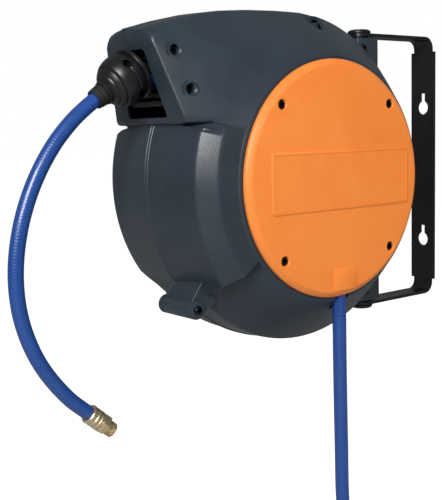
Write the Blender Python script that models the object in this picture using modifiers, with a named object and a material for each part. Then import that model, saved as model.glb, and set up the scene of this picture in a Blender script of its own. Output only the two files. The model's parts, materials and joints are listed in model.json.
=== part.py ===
"""Wall-mounted spring-rewind air hose reel, as an assembly of separate pieces.

Blender 4.5, metres, +Z up. The origin is on the wall plate's back face, midway between
its two wall screws, with +X into the wall. The drum turns about a Y axis, the orange side
cover faces -Y and the hose leaves the nose towards -X.
Sizes below are millimetres, and places are measured from the drum's axis.
"""

import math

import bmesh
import bpy
from mathutils import Vector

for old in list(bpy.data.objects):
    bpy.data.objects.remove(old, do_unlink=True)

MM = 0.001
FIT = 0.3                      # gap between touching pieces
SPIN_GAP = 0.5                 # gap between a turning piece and what carries it

# Wall bracket
WALL_TO_AXIS = 205.5           # plate's back face to the drum's axis
SHEET = 3.0                    # bracket steel
PLATE_WIDTH = 29.0
PLATE_HALF_HEIGHT = 117.0
ARM_WIDTH = 22.0
ARM_TOP = 131.5                # outer face of the upper arm above the axis
BEND_RADIUS = 13.0             # outside of the bends
KEYHOLE_HEAD_Z = (61.0, -75.5)
KEYHOLE_HEAD_RADIUS = 7.0
KEYHOLE_SLOT_WIDTH = 6.0
KEYHOLE_RISE = 14.5            # slot centre above the head's centre
ORIGIN_Z = sum(KEYHOLE_HEAD_Z) / 2 + KEYHOLE_RISE   # midway between the wall screws
CENTRE_HOLE_RADIUS = 2.3
CENTRE_HOLE_Z = -1.0
PIN_RADIUS = 4.0
PIN_HEAD_RADIUS = 11.0
PIN_HEAD = 3.6
PIN_DEPTH = 19.0               # pin below the arm's inner face
WASHER = 1.0
WASHER_RADIUS = 8.5

# Side cover
COVER_RADIUS = 100.0
COVER_THICK = 2.7
COVER_DEPTH = 6.0
COVER_CHAMFER = (4.5, 3.4)
COVER_SCREW_OFFSET = 0.625 * COVER_RADIUS
PANEL_SIZE = (161.0, 50.0)     # plain raised panel
PANEL_X = 5.0
PANEL_HEIGHT = 0.8
TAB_SIZE = (27.0, 24.0)
TAB_X = 5.5
SCREW_RADIUS = 1.9
SCREW_HEAD_RADIUS = 3.8
SCREW_HEAD = 2.6

# Case
RIM_RADIUS = 144.0             # case at the parting plane
PIVOT_X = RIM_RADIUS - 35.0     # vertical swivel axis from the drum's axis
RIM_DRAFT = 0.035              # radius lost per millimetre of width
RIM_HALF_WIDTH = 29.0          # where the rim turns into the cone
CONE_RADIUS = 104.0
CONE_Y = 73.5
CROWN_RADIUS = 143.0           # upper part of the rim, which runs on into the nose
WALL = 3.0
RIB_HEIGHT = 1.0               # beads beside the parting line
RIB_WIDTH = 2.4
BAND_RADIUS = 141.5            # wide step below the nose, at the parting plane
BAND_DRAFT = 0.0776
BAND_Y = 60.5
BAND_INNER_RADIUS = 123.0
BAND_INNER_Y = 73.0
NOSE_END_ANGLE = 138.0         # degrees from +X: the cone's edge where the nose's top ends
FOOT_ANGLE = 150.0             # and where its front face ends
BAND_ANGLE = 160.0             # where the band begins
BAND_END_ANGLE = 217.0
POCKET_RADIUS = COVER_RADIUS - 14.0   # recess behind the side cover
BULKHEAD_Y = 58.0
BULKHEAD = 4.0
LUG_HALF_LENGTH = 14.0
LUG_HALF_WIDTH = 12.0
LUG_TOP = ARM_TOP - SHEET - WASHER - 2 * FIT

# Nose
NOSE_BOTTOM = 50.0
NOSE_TOP = 124.5
NOSE_FOOT_X = 135.5            # front face at its lower edge
NOSE_LEAN = 0.275              # how far the front face leans out per millimetre up
NOSE_FOOT_HALF_WIDTH = 51.0
NOSE_TOP_HALF_WIDTH = 33.0
NOSE_SHOULDER = 9.0
MOUTH_BOTTOM = 55.0
MOUTH_TOP = 108.0
MOUTH_FOOT_HALF_WIDTH = 28.0
MOUTH_TOP_HALF_WIDTH = 19.0

# Hose
HOSE_RADIUS = 6.0
HOSE_AXIS_Z = 85.0             # straight stretch between drum and nose
BALL_X = -159.0
BALL_RADIUS = 21.0
BALL_FRONT = 21.5              # neck face ahead of the ball centre
BALL_TILT = 30.0               # how far the ball stop hangs forward
COLLAR_LENGTH = 9.0
COLLAR_RADIUS = 8.6
FERRULE_RADIUS = 8.0
FERRULE_LENGTH = 13.0
HEX_ACROSS = 15.0
HEX_LENGTH = 6.5
THREAD_RADIUS = 6.4
THREAD_LENGTH = 9.0

# Drum
HUB_RADIUS = 40.0
HUB_WALL = 3.0
DRUM_HALF_WIDTH = 43.0
FLANGE_RADIUS = 114.0
FLANGE = 3.0
BOSS_RADIUS = 17.0
BUSH_RADIUS = 12.7
BUSH_LENGTH = 14.0
AXLE_RADIUS = 8.0
PACK_OUTER_RADIUS = HOSE_AXIS_Z - HOSE_RADIUS - 1.0
SPRING_CUP_RADIUS = 62.0
SPRING_CUP_DEPTH = 19.0
CUP_WALL = 1.6
SPRING_TURNS = 6
SPRING_STRIP = 0.9
RATCHET_RADIUS = 34.0
RATCHET_TEETH = 18
RATCHET_TOOTH = 4.0
RATCHET_THICK = 5.0
PAWL_PIVOT = (-50.0, -26.0)
PAWL_PIN_RADIUS = 2.5

# Roller guide
GUIDE_X = (-137.0, -109.0)
GUIDE_WALL = 4.0
ROLLER_RADIUS = 4.6
ROLLER_CLEAR = 0.8             # hose to roller
GUIDE_HALF_HEIGHT = HOSE_RADIUS + ROLLER_CLEAR + 2 * ROLLER_RADIUS + 1.0 + GUIDE_WALL
GUIDE_HALF_WIDTH = GUIDE_HALF_HEIGHT + 3.0
ROLLER_STUB = 1.5
NOSE_SCREWS = ((-137.0, 106.0), (-129.0, 76.0))   # x, z

# Air inlet
SWIVEL_RADIUS = 12.0
SWIVEL_Y = (60.3, 74.5)
BARB_Y = 68.0
INLET_X = 7.6
INLET_Y = -70.0
INLET_EXIT_Z = -118.0
INLET_SLOT_WIDTH = 14.6
COIL_RADIUS = 62.0
COIL_TURNS = 2
COIL_TOP_GAP = 0.6
COIL_TAIL = 46.0
TIE_SLACK = 0.9
TIE_THICK = 1.6
TIE_WIDTH = 8.0

LUG_ANGLE = math.radians(219.2)
LUG_DISTANCE = RIM_RADIUS + 13.4
LOWER_LUG = (LUG_DISTANCE * math.cos(LUG_ANGLE), LUG_DISTANCE * math.sin(LUG_ANGLE))   # clamp boss: x, z
LOWER_LUG_RADIUS = 8.0
LOWER_LUG_REACH = {-1: 39.0, 1: 6.0}
TOP_SCREW = (15.0, 133.5)      # in a scallop of the crown: x, z
SCALLOP_RADIUS = 10.0
SCALLOP_FLOOR = 24.0
SCALLOP_BOSS = 11.5
REAR_SCREW_X = PIVOT_X - 8.0
REAR_SCREW_Z = 117.0
NOSE_CUP_DEPTH = 8.0
VOID_SLACK = 0.6
CROWN_START = 46.0             # degrees from +X where the crown begins
TOP_LINE = ((0.0, 0.0), (-22.0, 0.0), (-52.0, 1.0), (-80.0, 3.2), (-103.0, 6.5), (-130.0, 12.4))   # x, drop
BAND_STEP_ANGLE = 2.0          # over which the band steps down to the round rim
ROUND_STATIONS = 21            # facets round each stretch of the case
CROWN_STATIONS = 6
TOP_STATIONS = 7
FRONT_STATIONS = 3
FOOT_STATIONS = 2
BAND_STATIONS = 8

STEPS = 40                     # facets of the large round pieces
SMALL_STEPS = 16


# ---------------------------------------------------------------- collections and materials

def make_collection(name):
    collection = bpy.data.collections.new(name)
    bpy.context.scene.collection.children.link(collection)
    return collection


PARTS = make_collection("air_hose_reel")
CUTTERS = make_collection("cutters")


def principled(name, colour, roughness, metallic=0.0):
    material = bpy.data.materials.new(name)
    material.use_nodes = True
    shader = material.node_tree.nodes["Principled BSDF"]
    shader.inputs["Base Color"].default_value = (*colour, 1.0)
    shader.inputs["Roughness"].default_value = roughness
    shader.inputs["Metallic"].default_value = metallic
    return material


CASE_GREY = principled("case_plastic", (0.040, 0.055, 0.068), 0.45)
COVER_ORANGE = principled("cover_plastic", (0.86, 0.25, 0.05), 0.40)
BLACK_PLASTIC = principled("black_plastic", (0.012, 0.013, 0.015), 0.35)
BLACK_STEEL = principled("black_painted_steel", (0.008, 0.009, 0.011), 0.40)
ZINC_STEEL = principled("zinc_steel", (0.55, 0.55, 0.56), 0.35, 1.0)
SPRING_STEEL = principled("spring_steel", (0.30, 0.30, 0.32), 0.30, 1.0)
BRASS = principled("brass", (0.72, 0.50, 0.20), 0.28, 1.0)
BLUE_HOSE = principled("blue_hose", (0.035, 0.090, 0.420), 0.35)
WHITE_NYLON = principled("white_nylon", (0.75, 0.74, 0.70), 0.50)
RUBBER = principled("rubber", (0.020, 0.020, 0.020), 0.70)


# ---------------------------------------------------------------- building blocks

def place(x, y, z):
    """A place measured from the drum's axis, in world metres."""
    return Vector((x - WALL_TO_AXIS, y, z - ORIGIN_Z)) * MM


def add_object(name, data, material=None):
    """A kept piece when it has a material, otherwise a hidden cutter."""
    obj = bpy.data.objects.new(name, data)
    if material:
        data.materials.append(material)
        PARTS.objects.link(obj)
        return obj
    CUTTERS.objects.link(obj)
    obj.hide_render = True
    obj.display_type = "WIRE"
    return obj


def from_bmesh(name, bm, material=None, origin=None):
    """Closes a bmesh into an object. Its points are already millimetres from the origin given."""
    bmesh.ops.recalc_face_normals(bm, faces=bm.faces)
    bmesh.ops.scale(bm, vec=(MM, MM, MM), verts=bm.verts)
    mesh = bpy.data.meshes.new(name)
    bm.to_mesh(mesh)
    bm.free()
    obj = add_object(name, mesh, material)
    obj.location = place(*(origin or (0, 0, 0)))
    return obj


def point_along(obj, axis):
    """Turns a piece made along +Z to lie along an axis."""
    obj.rotation_mode = "QUATERNION"
    obj.rotation_quaternion = Vector((0, 0, 1)).rotation_difference(Vector(axis))


def box(name, low, high, material=None):
    bm = bmesh.new()
    bmesh.ops.create_cube(bm, size=1.0)
    size = [b - a for a, b in zip(low, high)]
    middle = [(a + b) / 2 for a, b in zip(low, high)]
    bmesh.ops.scale(bm, vec=size, verts=bm.verts)
    return from_bmesh(name, bm, material, middle)


def rod(name, radius, length, middle, axis=(0, 1, 0), material=None, steps=SMALL_STEPS):
    """A cylinder, or a hexagon with six steps, about its middle."""
    bm = bmesh.new()
    bmesh.ops.create_cone(bm, cap_ends=True, segments=steps, radius1=radius, radius2=radius, depth=length)
    obj = from_bmesh(name, bm, material, middle)
    point_along(obj, axis)
    return obj


def turned(name, profile, middle=(0, 0, 0), axis=(0, -1, 0), material=None, steps=STEPS):
    """A profile of (radius, distance along the axis), turned with a Screw modifier.

    It is a closed loop unless it starts and ends on the axis.
    """
    area = 0.0
    for (r0, a0), (r1, a1) in zip(profile, profile[1:] + profile[:1]):
        area += r0 * a1 - r1 * a0
    points = list(profile) if area < 0 else list(reversed(profile))
    on_axis = points[0][0] == 0 and points[-1][0] == 0
    bm = bmesh.new()
    verts = [bm.verts.new((r * MM, 0, a * MM)) for r, a in points]
    for first, second in zip(verts, verts[1:]):
        bm.edges.new((first, second))
    if not on_axis:
        bm.edges.new((verts[-1], verts[0]))
    mesh = bpy.data.meshes.new(name)
    bm.to_mesh(mesh)
    bm.free()
    obj = add_object(name, mesh, material)
    obj.location = place(*middle)
    point_along(obj, axis)
    screw = obj.modifiers.new("turn", "SCREW")
    screw.angle = math.tau
    screw.steps = steps
    screw.render_steps = steps
    screw.use_merge_vertices = True
    screw.merge_threshold = 0.00001
    screw.use_smooth_shade = False
    return obj


def hull(name, points, material=None):
    """The convex body around a set of points."""
    bm = bmesh.new()
    for point in points:
        bm.verts.new(point)
    made = bmesh.ops.convex_hull(bm, input=bm.verts)
    loose = [g for g in made["geom_interior"] + made["geom_unused"] if isinstance(g, bmesh.types.BMVert)]
    bmesh.ops.delete(bm, geom=list(set(loose)), context="VERTS")
    bmesh.ops.dissolve_limit(bm, angle_limit=0.001, verts=bm.verts, edges=bm.edges)
    return from_bmesh(name, bm, material)


def slab(name, outlines, thickness, middle, material=None, axis="Y"):
    """Flat outlines with any holes, as a filled 2D curve made solid. Facing Y, outlines are (x, z)."""
    curve = bpy.data.curves.new(name, "CURVE")
    curve.dimensions = "2D"
    curve.fill_mode = "BOTH"
    curve.extrude = thickness / 2 * MM
    for outline in outlines:
        spline = curve.splines.new("POLY")
        spline.points.add(len(outline) - 1)
        for point, (u, v) in zip(spline.points, outline):
            point.co = (u * MM, v * MM, 0, 1)
        spline.use_cyclic_u = True
    holder = bpy.data.objects.new(name + "_curve", curve)
    CUTTERS.objects.link(holder)
    holder.rotation_euler = (math.pi / 2, 0, 0) if axis == "Y" else (0, 0, 0)
    bpy.context.view_layer.update()
    seen = holder.evaluated_get(bpy.context.evaluated_depsgraph_get())
    mesh = bpy.data.meshes.new_from_object(seen)
    mesh.transform(holder.matrix_world)
    bpy.data.objects.remove(holder, do_unlink=True)
    bm = bmesh.new()
    bm.from_mesh(mesh)
    bpy.data.meshes.remove(mesh)
    bmesh.ops.remove_doubles(bm, verts=bm.verts, dist=0.000001)
    bmesh.ops.scale(bm, vec=(1 / MM, 1 / MM, 1 / MM), verts=bm.verts)
    return from_bmesh(name, bm, material, middle)


def tube(name, points, radius, material, resolution=3):
    """A round cord or hose through points, as a curve with a bevel."""
    curve = bpy.data.curves.new(name, "CURVE")
    curve.dimensions = "3D"
    curve.bevel_depth = radius * MM
    curve.bevel_resolution = resolution
    curve.use_fill_caps = True
    spline = curve.splines.new("POLY")
    spline.points.add(len(points) - 1)
    for point, where in zip(spline.points, points):
        point.co = (*(Vector(where) * MM), 1)
    obj = add_object(name, curve, material)
    obj.location = place(0, 0, 0)
    return obj


def smooth_route(chosen, spacing):
    """Points every so often along one smooth curve through chosen points."""
    knots = [Vector(p) for p in chosen]
    padded = [2 * knots[0] - knots[1], *knots, 2 * knots[-1] - knots[-2]]
    fine = []
    for p0, p1, p2, p3 in zip(padded, padded[1:], padded[2:], padded[3:]):
        for step in range(20):
            t = step / 20
            fine.append(0.5 * (2 * p1 + (p2 - p0) * t + (2 * p0 - 5 * p1 + 4 * p2 - p3) * t * t
                               + (3 * p1 - p0 - 3 * p2 + p3) * t ** 3))
    fine.append(knots[-1])
    lengths = [0.0]
    for a, b in zip(fine, fine[1:]):
        lengths.append(lengths[-1] + (b - a).length)
    count = max(2, round(lengths[-1] / spacing))
    route = []
    at = 0
    for i in range(count + 1):
        want = lengths[-1] * i / count
        while at < len(fine) - 2 and lengths[at + 1] < want:
            at += 1
        share = (want - lengths[at]) / max(lengths[at + 1] - lengths[at], 1e-9)
        route.append(fine[at].lerp(fine[at + 1], min(share, 1.0)))
    return route


def cut(obj, *cutters):
    combine(obj, "DIFFERENCE", cutters)


def join(obj, *others):
    combine(obj, "UNION", others)


def combine(obj, operation, others):
    for other in others:
        modifier = obj.modifiers.new(operation.lower() + "_" + other.name, "BOOLEAN")
        modifier.operation = operation
        modifier.solver = "EXACT"
        modifier.object = other


def circle(radius, count, centre=(0, 0), start=0.0):
    turn = math.tau / count
    return [(centre[0] + radius * math.cos(start + i * turn), centre[1] + radius * math.sin(start + i * turn))
            for i in range(count)]


# ---------------------------------------------------------------- wall bracket

def bracket_path():
    """Middle line of the bent strip, seen from the side: upper arm, plate, lower arm."""
    half = SHEET / 2
    back = WALL_TO_AXIS - half
    top = ARM_TOP - half
    radius = BEND_RADIUS - half
    end = PIVOT_X - ARM_WIDTH / 2
    upper = [(end, top)]
    for i in range(7):
        angle = math.pi / 2 * (1 - i / 6)
        upper.append((back - radius + radius * math.cos(angle), top - radius + radius * math.sin(angle)))
    return upper + [(x, -z) for x, z in reversed(upper)]


def make_wall_bracket():
    bm = bmesh.new()
    half = PLATE_WIDTH / 2
    rail = [bm.verts.new((x, -half, z)) for x, z in bracket_path()]
    edges = [bm.edges.new(pair) for pair in zip(rail, rail[1:])]
    swept = bmesh.ops.extrude_edge_only(bm, edges=edges)
    moved = [g for g in swept["geom"] if isinstance(g, bmesh.types.BMVert)]
    bmesh.ops.translate(bm, vec=(0, PLATE_WIDTH, 0), verts=moved)
    bracket = from_bmesh("wall_bracket", bm, BLACK_STEEL)
    solid = bracket.modifiers.new("sheet", "SOLIDIFY")
    solid.thickness = SHEET * MM
    solid.offset = 0
    solid.use_even_offset = True

    back = WALL_TO_AXIS
    tall = ARM_TOP + 5
    for side in (-1, 1):
        for end in (-1, 1):
            ys = sorted((side * ARM_WIDTH / 2, side * PLATE_WIDTH))
            zs = sorted((end * PLATE_HALF_HEIGHT, end * tall))
            name = f"arm_relief_{side + 1}{end + 1}"
            cut(bracket, box(name, (PIVOT_X - 40, ys[0], zs[0]), (back + 5, ys[1], zs[1])))
    end_cutter = box("arm_end_corners", (PIVOT_X - 30, -20, -tall), (PIVOT_X, 20, tall))
    cut(end_cutter, rod("arm_end_round", ARM_WIDTH / 2, 3 * tall, (PIVOT_X, 0, 0), (0, 0, 1)))
    cut(bracket, end_cutter)
    cut(bracket, rod("arm_pin_hole", PIN_RADIUS + FIT, 3 * tall, (PIVOT_X, 0, 0), (0, 0, 1)))
    for i, z in enumerate(KEYHOLE_HEAD_Z):
        slot = KEYHOLE_SLOT_WIDTH / 2
        top = z + KEYHOLE_RISE
        head = rod(f"keyhole_head_{i}", KEYHOLE_HEAD_RADIUS, 12, (back, 0, z), (1, 0, 0))
        join(head, rod(f"keyhole_slot_end_{i}", slot, 11, (back, 0, top), (1, 0, 0), steps=12))
        join(head, box(f"keyhole_slot_{i}", (back - 5.2, -slot * 0.98, z), (back + 5.2, slot * 0.98, top)))
        cut(bracket, head)
    cut(bracket, rod("plate_centre_hole", CENTRE_HOLE_RADIUS, 12, (back, 0, CENTRE_HOLE_Z), (1, 0, 0),
                     steps=12))
    return bracket


def make_pivot(name, side):
    """Headed pin through an arm, and the washer between the arm and the case's lug."""
    inner = ARM_TOP - SHEET
    head = ARM_TOP + FIT
    profile = [(0, head + PIN_HEAD), (PIN_HEAD_RADIUS - 2.2, head + PIN_HEAD),
               (PIN_HEAD_RADIUS, head + PIN_HEAD - 1.4),
               (PIN_HEAD_RADIUS, head), (PIN_RADIUS, head), (PIN_RADIUS, inner - PIN_DEPTH + 0.8),
               (PIN_RADIUS - 0.8, inner - PIN_DEPTH), (0, inner - PIN_DEPTH)]
    axis = (0, 0, side)
    pin = turned(f"{name}_pivot_pin", profile, (PIVOT_X, 0, 0), axis, BLACK_STEEL, SMALL_STEPS)
    low = inner - FIT - WASHER
    ring = [(PIN_RADIUS + FIT, low), (WASHER_RADIUS, low), (WASHER_RADIUS, low + WASHER),
            (PIN_RADIUS + FIT, low + WASHER)]
    washer = turned(f"{name}_pivot_washer", ring, (PIVOT_X, 0, 0), axis, BLACK_PLASTIC, SMALL_STEPS)
    return pin, washer


# ---------------------------------------------------------------- case

def nose_front_x(z, inset=0.0):
    return -(NOSE_FOOT_X + NOSE_LEAN * (z - NOSE_BOTTOM)) + inset


def on_circle(radius, y, angle):
    turn = math.radians(angle)
    return Vector((radius * math.cos(turn), y, radius * math.sin(turn)))


def spread(first, last, count):
    """Evenly spaced values, without the last one."""
    return [first + (last - first) * i / count for i in range(count)]


def along_line(points, count):
    """Evenly spaced points on a line through points, without its end."""
    lengths = [0.0]
    for p, q in zip(points, points[1:]):
        lengths.append(lengths[-1] + (Vector(q) - Vector(p)).length)
    out = []
    for want in spread(0.0, lengths[-1], count):
        at = max(i for i in range(len(points) - 1) if lengths[i] <= want + 1e-9)
        share = (want - lengths[at]) / (lengths[at + 1] - lengths[at])
        out.append(Vector(points[at]).lerp(Vector(points[at + 1]), share))
    return out


def cone_angles():
    """One angle per station round the cone's edge, in the order of case_rows."""
    return (round_angles() + spread(CROWN_START, 90.0, CROWN_STATIONS) + spread(90.0, NOSE_END_ANGLE,
            TOP_STATIONS)
            + spread(NOSE_END_ANGLE, FOOT_ANGLE, FRONT_STATIONS) + spread(FOOT_ANGLE, BAND_ANGLE,
                    FOOT_STATIONS)
            + band_angles())


def round_angles():
    return spread(BAND_END_ANGLE + BAND_STEP_ANGLE, 360.0 + CROWN_START, ROUND_STATIONS)


def band_angles():
    return spread(BAND_ANGLE, BAND_END_ANGLE, BAND_STATIONS) + [BAND_END_ANGLE]


def outline_row(y_rim, y_crown, y_nose, drop, nose_drop, foot_y, inset):
    """One lengthwise line of the case's outer side: rim, crown, nose front, underside, band."""
    rim = RIM_RADIUS - drop - inset
    crown = CROWN_RADIUS + 1.0 - nose_drop * 0.15 - inset
    high = NOSE_TOP - nose_drop - inset
    low = NOSE_BOTTOM + inset
    row = [on_circle(rim, y_rim, a) for a in round_angles()]
    row += [on_circle(crown, y_crown, a) for a in spread(CROWN_START, 90.0, CROWN_STATIONS)]
    top = Vector((nose_front_x(high, inset), y_nose, high))
    line = [(x, y_crown, crown - fall) for x, fall in TOP_LINE[:-1]]
    x, fall = TOP_LINE[-1]
    row += along_line([*line, (x, y_nose, crown - fall), top], TOP_STATIONS)
    foot = Vector((nose_front_x(low, inset), foot_y, low))
    row += along_line([top, foot], FRONT_STATIONS)
    band = on_circle(BAND_RADIUS - inset - BAND_DRAFT * y_rim, y_rim, BAND_ANGLE)
    row += along_line([foot, foot.lerp(band, 0.6) + Vector((0, 0, 0.8)), band], FOOT_STATIONS)
    return row


def case_rows(inset):
    """Lengthwise lines of one half, from the parting plane to the cone's edge; y is positive here."""
    wide = RIM_HALF_WIDTH - 0.4 * inset
    half = wide / 2
    rows = []
    levels = ((0.0, 0.0, 0.0, 0.0, 0.0, 0.0),
              (half, half * 1.5, NOSE_TOP_HALF_WIDTH - NOSE_SHOULDER, RIM_DRAFT * half, 2.0,
               NOSE_FOOT_HALF_WIDTH * 0.7),
              (wide, wide, NOSE_TOP_HALF_WIDTH, RIM_DRAFT * wide, NOSE_SHOULDER, NOSE_FOOT_HALF_WIDTH))
    band_levels = (0.0, BAND_Y / 2, BAND_Y)
    for (y_rim, y_crown, y_nose, drop, nose_drop, foot_y), band_y in zip(levels, band_levels):
        shrink = inset if y_nose else 0.0
        row = outline_row(y_rim, y_crown, max(y_nose - shrink, 0.0), drop, nose_drop,
                          max(foot_y - shrink, 0.0), inset)
        at = max(band_y - 0.5 * inset, 0.0) if band_y else 0.0
        radius = BAND_RADIUS - BAND_DRAFT * band_y - inset
        row += [on_circle(radius, at, a) for a in band_angles()]
        rows.append(row)
    cone = CONE_RADIUS - 0.6 * inset
    edge = [on_circle(cone, CONE_Y - 1.1 * inset, a) for a in cone_angles()]
    middle = []
    for i, (outer, inner) in enumerate(zip(rows[-1], edge)):
        if i > len(edge) - BAND_STATIONS - 2:
            middle.append(on_circle(BAND_INNER_RADIUS - 0.5 * inset, BAND_INNER_Y - inset, cone_angles()[i]))
        else:
            middle.append(outer.lerp(inner, 0.45))
    return [*rows, middle, edge]


def bead_rows():
    """Raised bead beside the parting plane."""
    base = case_rows(0.0)[0]
    rows = []
    for height, y in ((RIB_HEIGHT, 0.0), (RIB_HEIGHT, RIB_WIDTH), (0.0, RIB_WIDTH + 0.4)):
        rows.append([Vector((p.x, 0, p.z)) * (1 + height / math.hypot(p.x, p.z)) + Vector((0, y,
                0)) for p in base])
    return rows


def circle_row(radius, y):
    return [on_circle(radius, y, a) for a in cone_angles()]


def loft(name, rows, side, material=None, closed=True):
    """Faces between successive rows; a closed loop of rows, or an open stack with flat ends."""
    bm = bmesh.new()
    grid = [[bm.verts.new((p.x, side * p.y, p.z)) for p in row] for row in rows]
    pairs = list(zip(grid, grid[1:]))
    if closed:
        pairs.append((grid[-1], grid[0]))
    for low, high in pairs:
        for i in range(len(low)):
            j = (i + 1) % len(low)
            bm.faces.new((low[i], low[j], high[j], high[i]))
    if not closed:
        bm.faces.new(grid[0])
        bm.faces.new(grid[-1])
    return from_bmesh(name, bm, material)


def inner_void(name, side):
    """The room inside one half, a little smaller than its walls, for trimming what is added to them."""
    return loft(name, case_rows(WALL + VOID_SLACK), side, closed=False)


def lower_lug(name, side):
    """Round boss below the nose that clamps the halves, with a web into the case."""
    x, z = LOWER_LUG
    long = LOWER_LUG_REACH[side]
    boss = rod(name, LOWER_LUG_RADIUS, long + 4.0, (x, side * (long - 4.0) / 2, z), (0, side, 0))
    inward = Vector((-x, 0, -z)).normalized()
    across = Vector((-inward.z, 0, inward.x))
    corners = []
    for along, half in ((-2.0, 7.0), (24.0, 13.0)):
        for sign in (-1, 1):
            for y in (-4.0, long - 3.0):
                corners.append(tuple(Vector((x, side * y, z)) + inward * along + across * half * sign))
    join(boss, hull(f"{name}_web", corners))
    return boss


def pivot_lug(name, side, end):
    ys = sorted((-4.0 * side, side * LUG_HALF_WIDTH))
    zs = sorted((end * 62.0, end * LUG_TOP))
    return box(name, (PIVOT_X - LUG_HALF_LENGTH, ys[0], zs[0]), (PIVOT_X + LUG_HALF_LENGTH, ys[1], zs[1]))


def make_half_shell(name, side):
    """One moulded half: side -1 carries the cover, side +1 closes the back."""
    tag = f"{name}_"
    out = (0, side, 0)
    bore = AXLE_RADIUS + FIT
    inside = list(reversed(case_rows(WALL)))
    flat = CONE_Y - 1.1 * WALL
    outside = bead_rows() + case_rows(0.0)[1:]
    if side < 0:
        floor = BULKHEAD_Y - BULKHEAD
        middle = [circle_row(POCKET_RADIUS, CONE_Y), circle_row(POCKET_RADIUS, BULKHEAD_Y),
                  circle_row(bore, BULKHEAD_Y),
                  circle_row(bore, floor), circle_row(POCKET_RADIUS + WALL, floor),
                  circle_row(POCKET_RADIUS + WALL, flat)]
    else:
        middle = [circle_row(bore, CONE_Y), circle_row(bore, flat)]
    shell = loft(name, outside + middle + inside, side, CASE_GREY)

    void = inner_void(tag + "void", side)
    for end in (-1, 1):
        lug = pivot_lug(f"{tag}pivot_lug_{end + 1}", side, end)
        cut(lug, void)
        join(shell, lug)
    boss = lower_lug(tag + "lower_lug", side)
    cut(boss, void)
    join(shell, boss)
    x, z = TOP_SCREW
    join(shell, rod(tag + "scallop_boss", SCALLOP_BOSS, SCALLOP_FLOOR + 6.0,
                    (x, side * (SCALLOP_FLOOR + 3.0) / 2, z - 4.0), out))
    cut(shell, rod(tag + "scallop", SCALLOP_RADIUS, 60.0, (x, side * (SCALLOP_FLOOR + 30.0), z + 3.0), out))
    for i, (x, z) in enumerate(NOSE_SCREWS):
        wall = nose_side_y(x, z)
        cup = SCREW_HEAD_RADIUS + 3.2
        join(shell, rod(f"{tag}nose_cup_{i}", cup, NOSE_CUP_DEPTH,
                        (x, side * (wall - 1.5 - NOSE_CUP_DEPTH / 2), z), out, steps=16))
        depth = NOSE_CUP_DEPTH - 1.5
        cut(shell, rod(f"{tag}nose_recess_{i}", SCREW_HEAD_RADIUS + 1.0, 30.0,
                       (x, side * (wall - depth + 15.0), z), out, steps=20))
        cut(shell, rod(f"{tag}nose_hole_{i}", SCREW_RADIUS + FIT, 40.0, (x, side * (wall - 8.0), z),
                       out, steps=12))
    cut(shell, mouth_cutter(tag + "mouth"))
    pilots = (("top", TOP_SCREW), ("lower", LOWER_LUG), ("rear_upper", (REAR_SCREW_X, REAR_SCREW_Z)),
              ("rear_lower", (REAR_SCREW_X, -REAR_SCREW_Z)))
    for place_name, (x, z) in pilots:
        cut(shell, rod(f"{tag}{place_name}_pilot", SCREW_RADIUS + FIT, 120.0, (x, 0, z), out, steps=12))
    for end in (-1, 1):
        if RIM_RADIUS > math.hypot(REAR_SCREW_X, REAR_SCREW_Z) - SCREW_HEAD_RADIUS - SPIN_GAP:
            seat = rod(f"{tag}rear_seat_{end + 1}", SCREW_HEAD_RADIUS + SPIN_GAP, 40.0,
                       (REAR_SCREW_X, side * (LUG_HALF_WIDTH + 20.0), end * REAR_SCREW_Z), out, steps=20)
            cut(shell, seat)
        deep = LUG_TOP - 20.0
        cut(shell, rod(f"{tag}pivot_bore_{end + 1}", PIN_RADIUS + SPIN_GAP, 30.0,
                       (PIVOT_X, 0, end * (deep + 15.0)), (0, 0, 1)))
    if side < 0:
        cover_seat(shell, tag)
    edge = FIT / 2
    cut(shell, box(tag + "parting", (-220, -edge if side < 0 else -40, -200),
                   (220, 40 if side < 0 else edge, 200)))
    return shell


def nose_side_y(x, z):
    """How far the nose's flat side stands from the parting plane at a place on it."""
    low = NOSE_BOTTOM
    high = NOSE_TOP - NOSE_SHOULDER
    a = Vector((nose_front_x(high), NOSE_TOP_HALF_WIDTH, high))
    b = Vector((nose_front_x(low), NOSE_FOOT_HALF_WIDTH, low))
    c = on_circle(CONE_RADIUS, CONE_Y, 143.0)
    normal = (b - a).cross(c - a)
    return a.y - (normal.x * (x - a.x) + normal.z * (z - a.z)) / normal.y


def mouth_cutter(name):
    points = []
    for x in (nose_front_x(MOUTH_TOP) - 12.0, -NOSE_FOOT_X + 10.0):
        for z, half in ((MOUTH_BOTTOM, MOUTH_FOOT_HALF_WIDTH), (MOUTH_TOP, MOUTH_TOP_HALF_WIDTH)):
            points += [(x, -half, z), (x, half, z)]
    return hull(name, points)


def cover_seat(shell, tag):
    """Bosses for the cover's screws and the slot for the inlet hose."""
    low = BULKHEAD_Y - 1.5
    high = CONE_Y - 0.6
    for i, (x, z) in enumerate(cover_screws()):
        join(shell, rod(f"{tag}cover_boss_{i}", 6.0, high - low, (x, -(high + low) / 2, z), (0, 1, 0),
                        steps=16))
        cut(shell, rod(f"{tag}cover_pilot_{i}", SCREW_RADIUS + FIT, 30.0, (x, -CONE_Y, z), (0, 1, 0),
                       steps=12))
    half = INLET_SLOT_WIDTH / 2
    deepest = INLET_Y + HOSE_RADIUS + 1.4
    cut(shell, box(tag + "inlet_slot", (INLET_X - half, -CONE_Y - 10, -130.0),
                   (INLET_X + half, deepest, -POCKET_RADIUS + 4.0)))


def cover_screws():
    return [(x, z) for x in (-COVER_SCREW_OFFSET, COVER_SCREW_OFFSET) for z in (COVER_SCREW_OFFSET,
            -COVER_SCREW_OFFSET)]


# ---------------------------------------------------------------- side cover and screws

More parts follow.
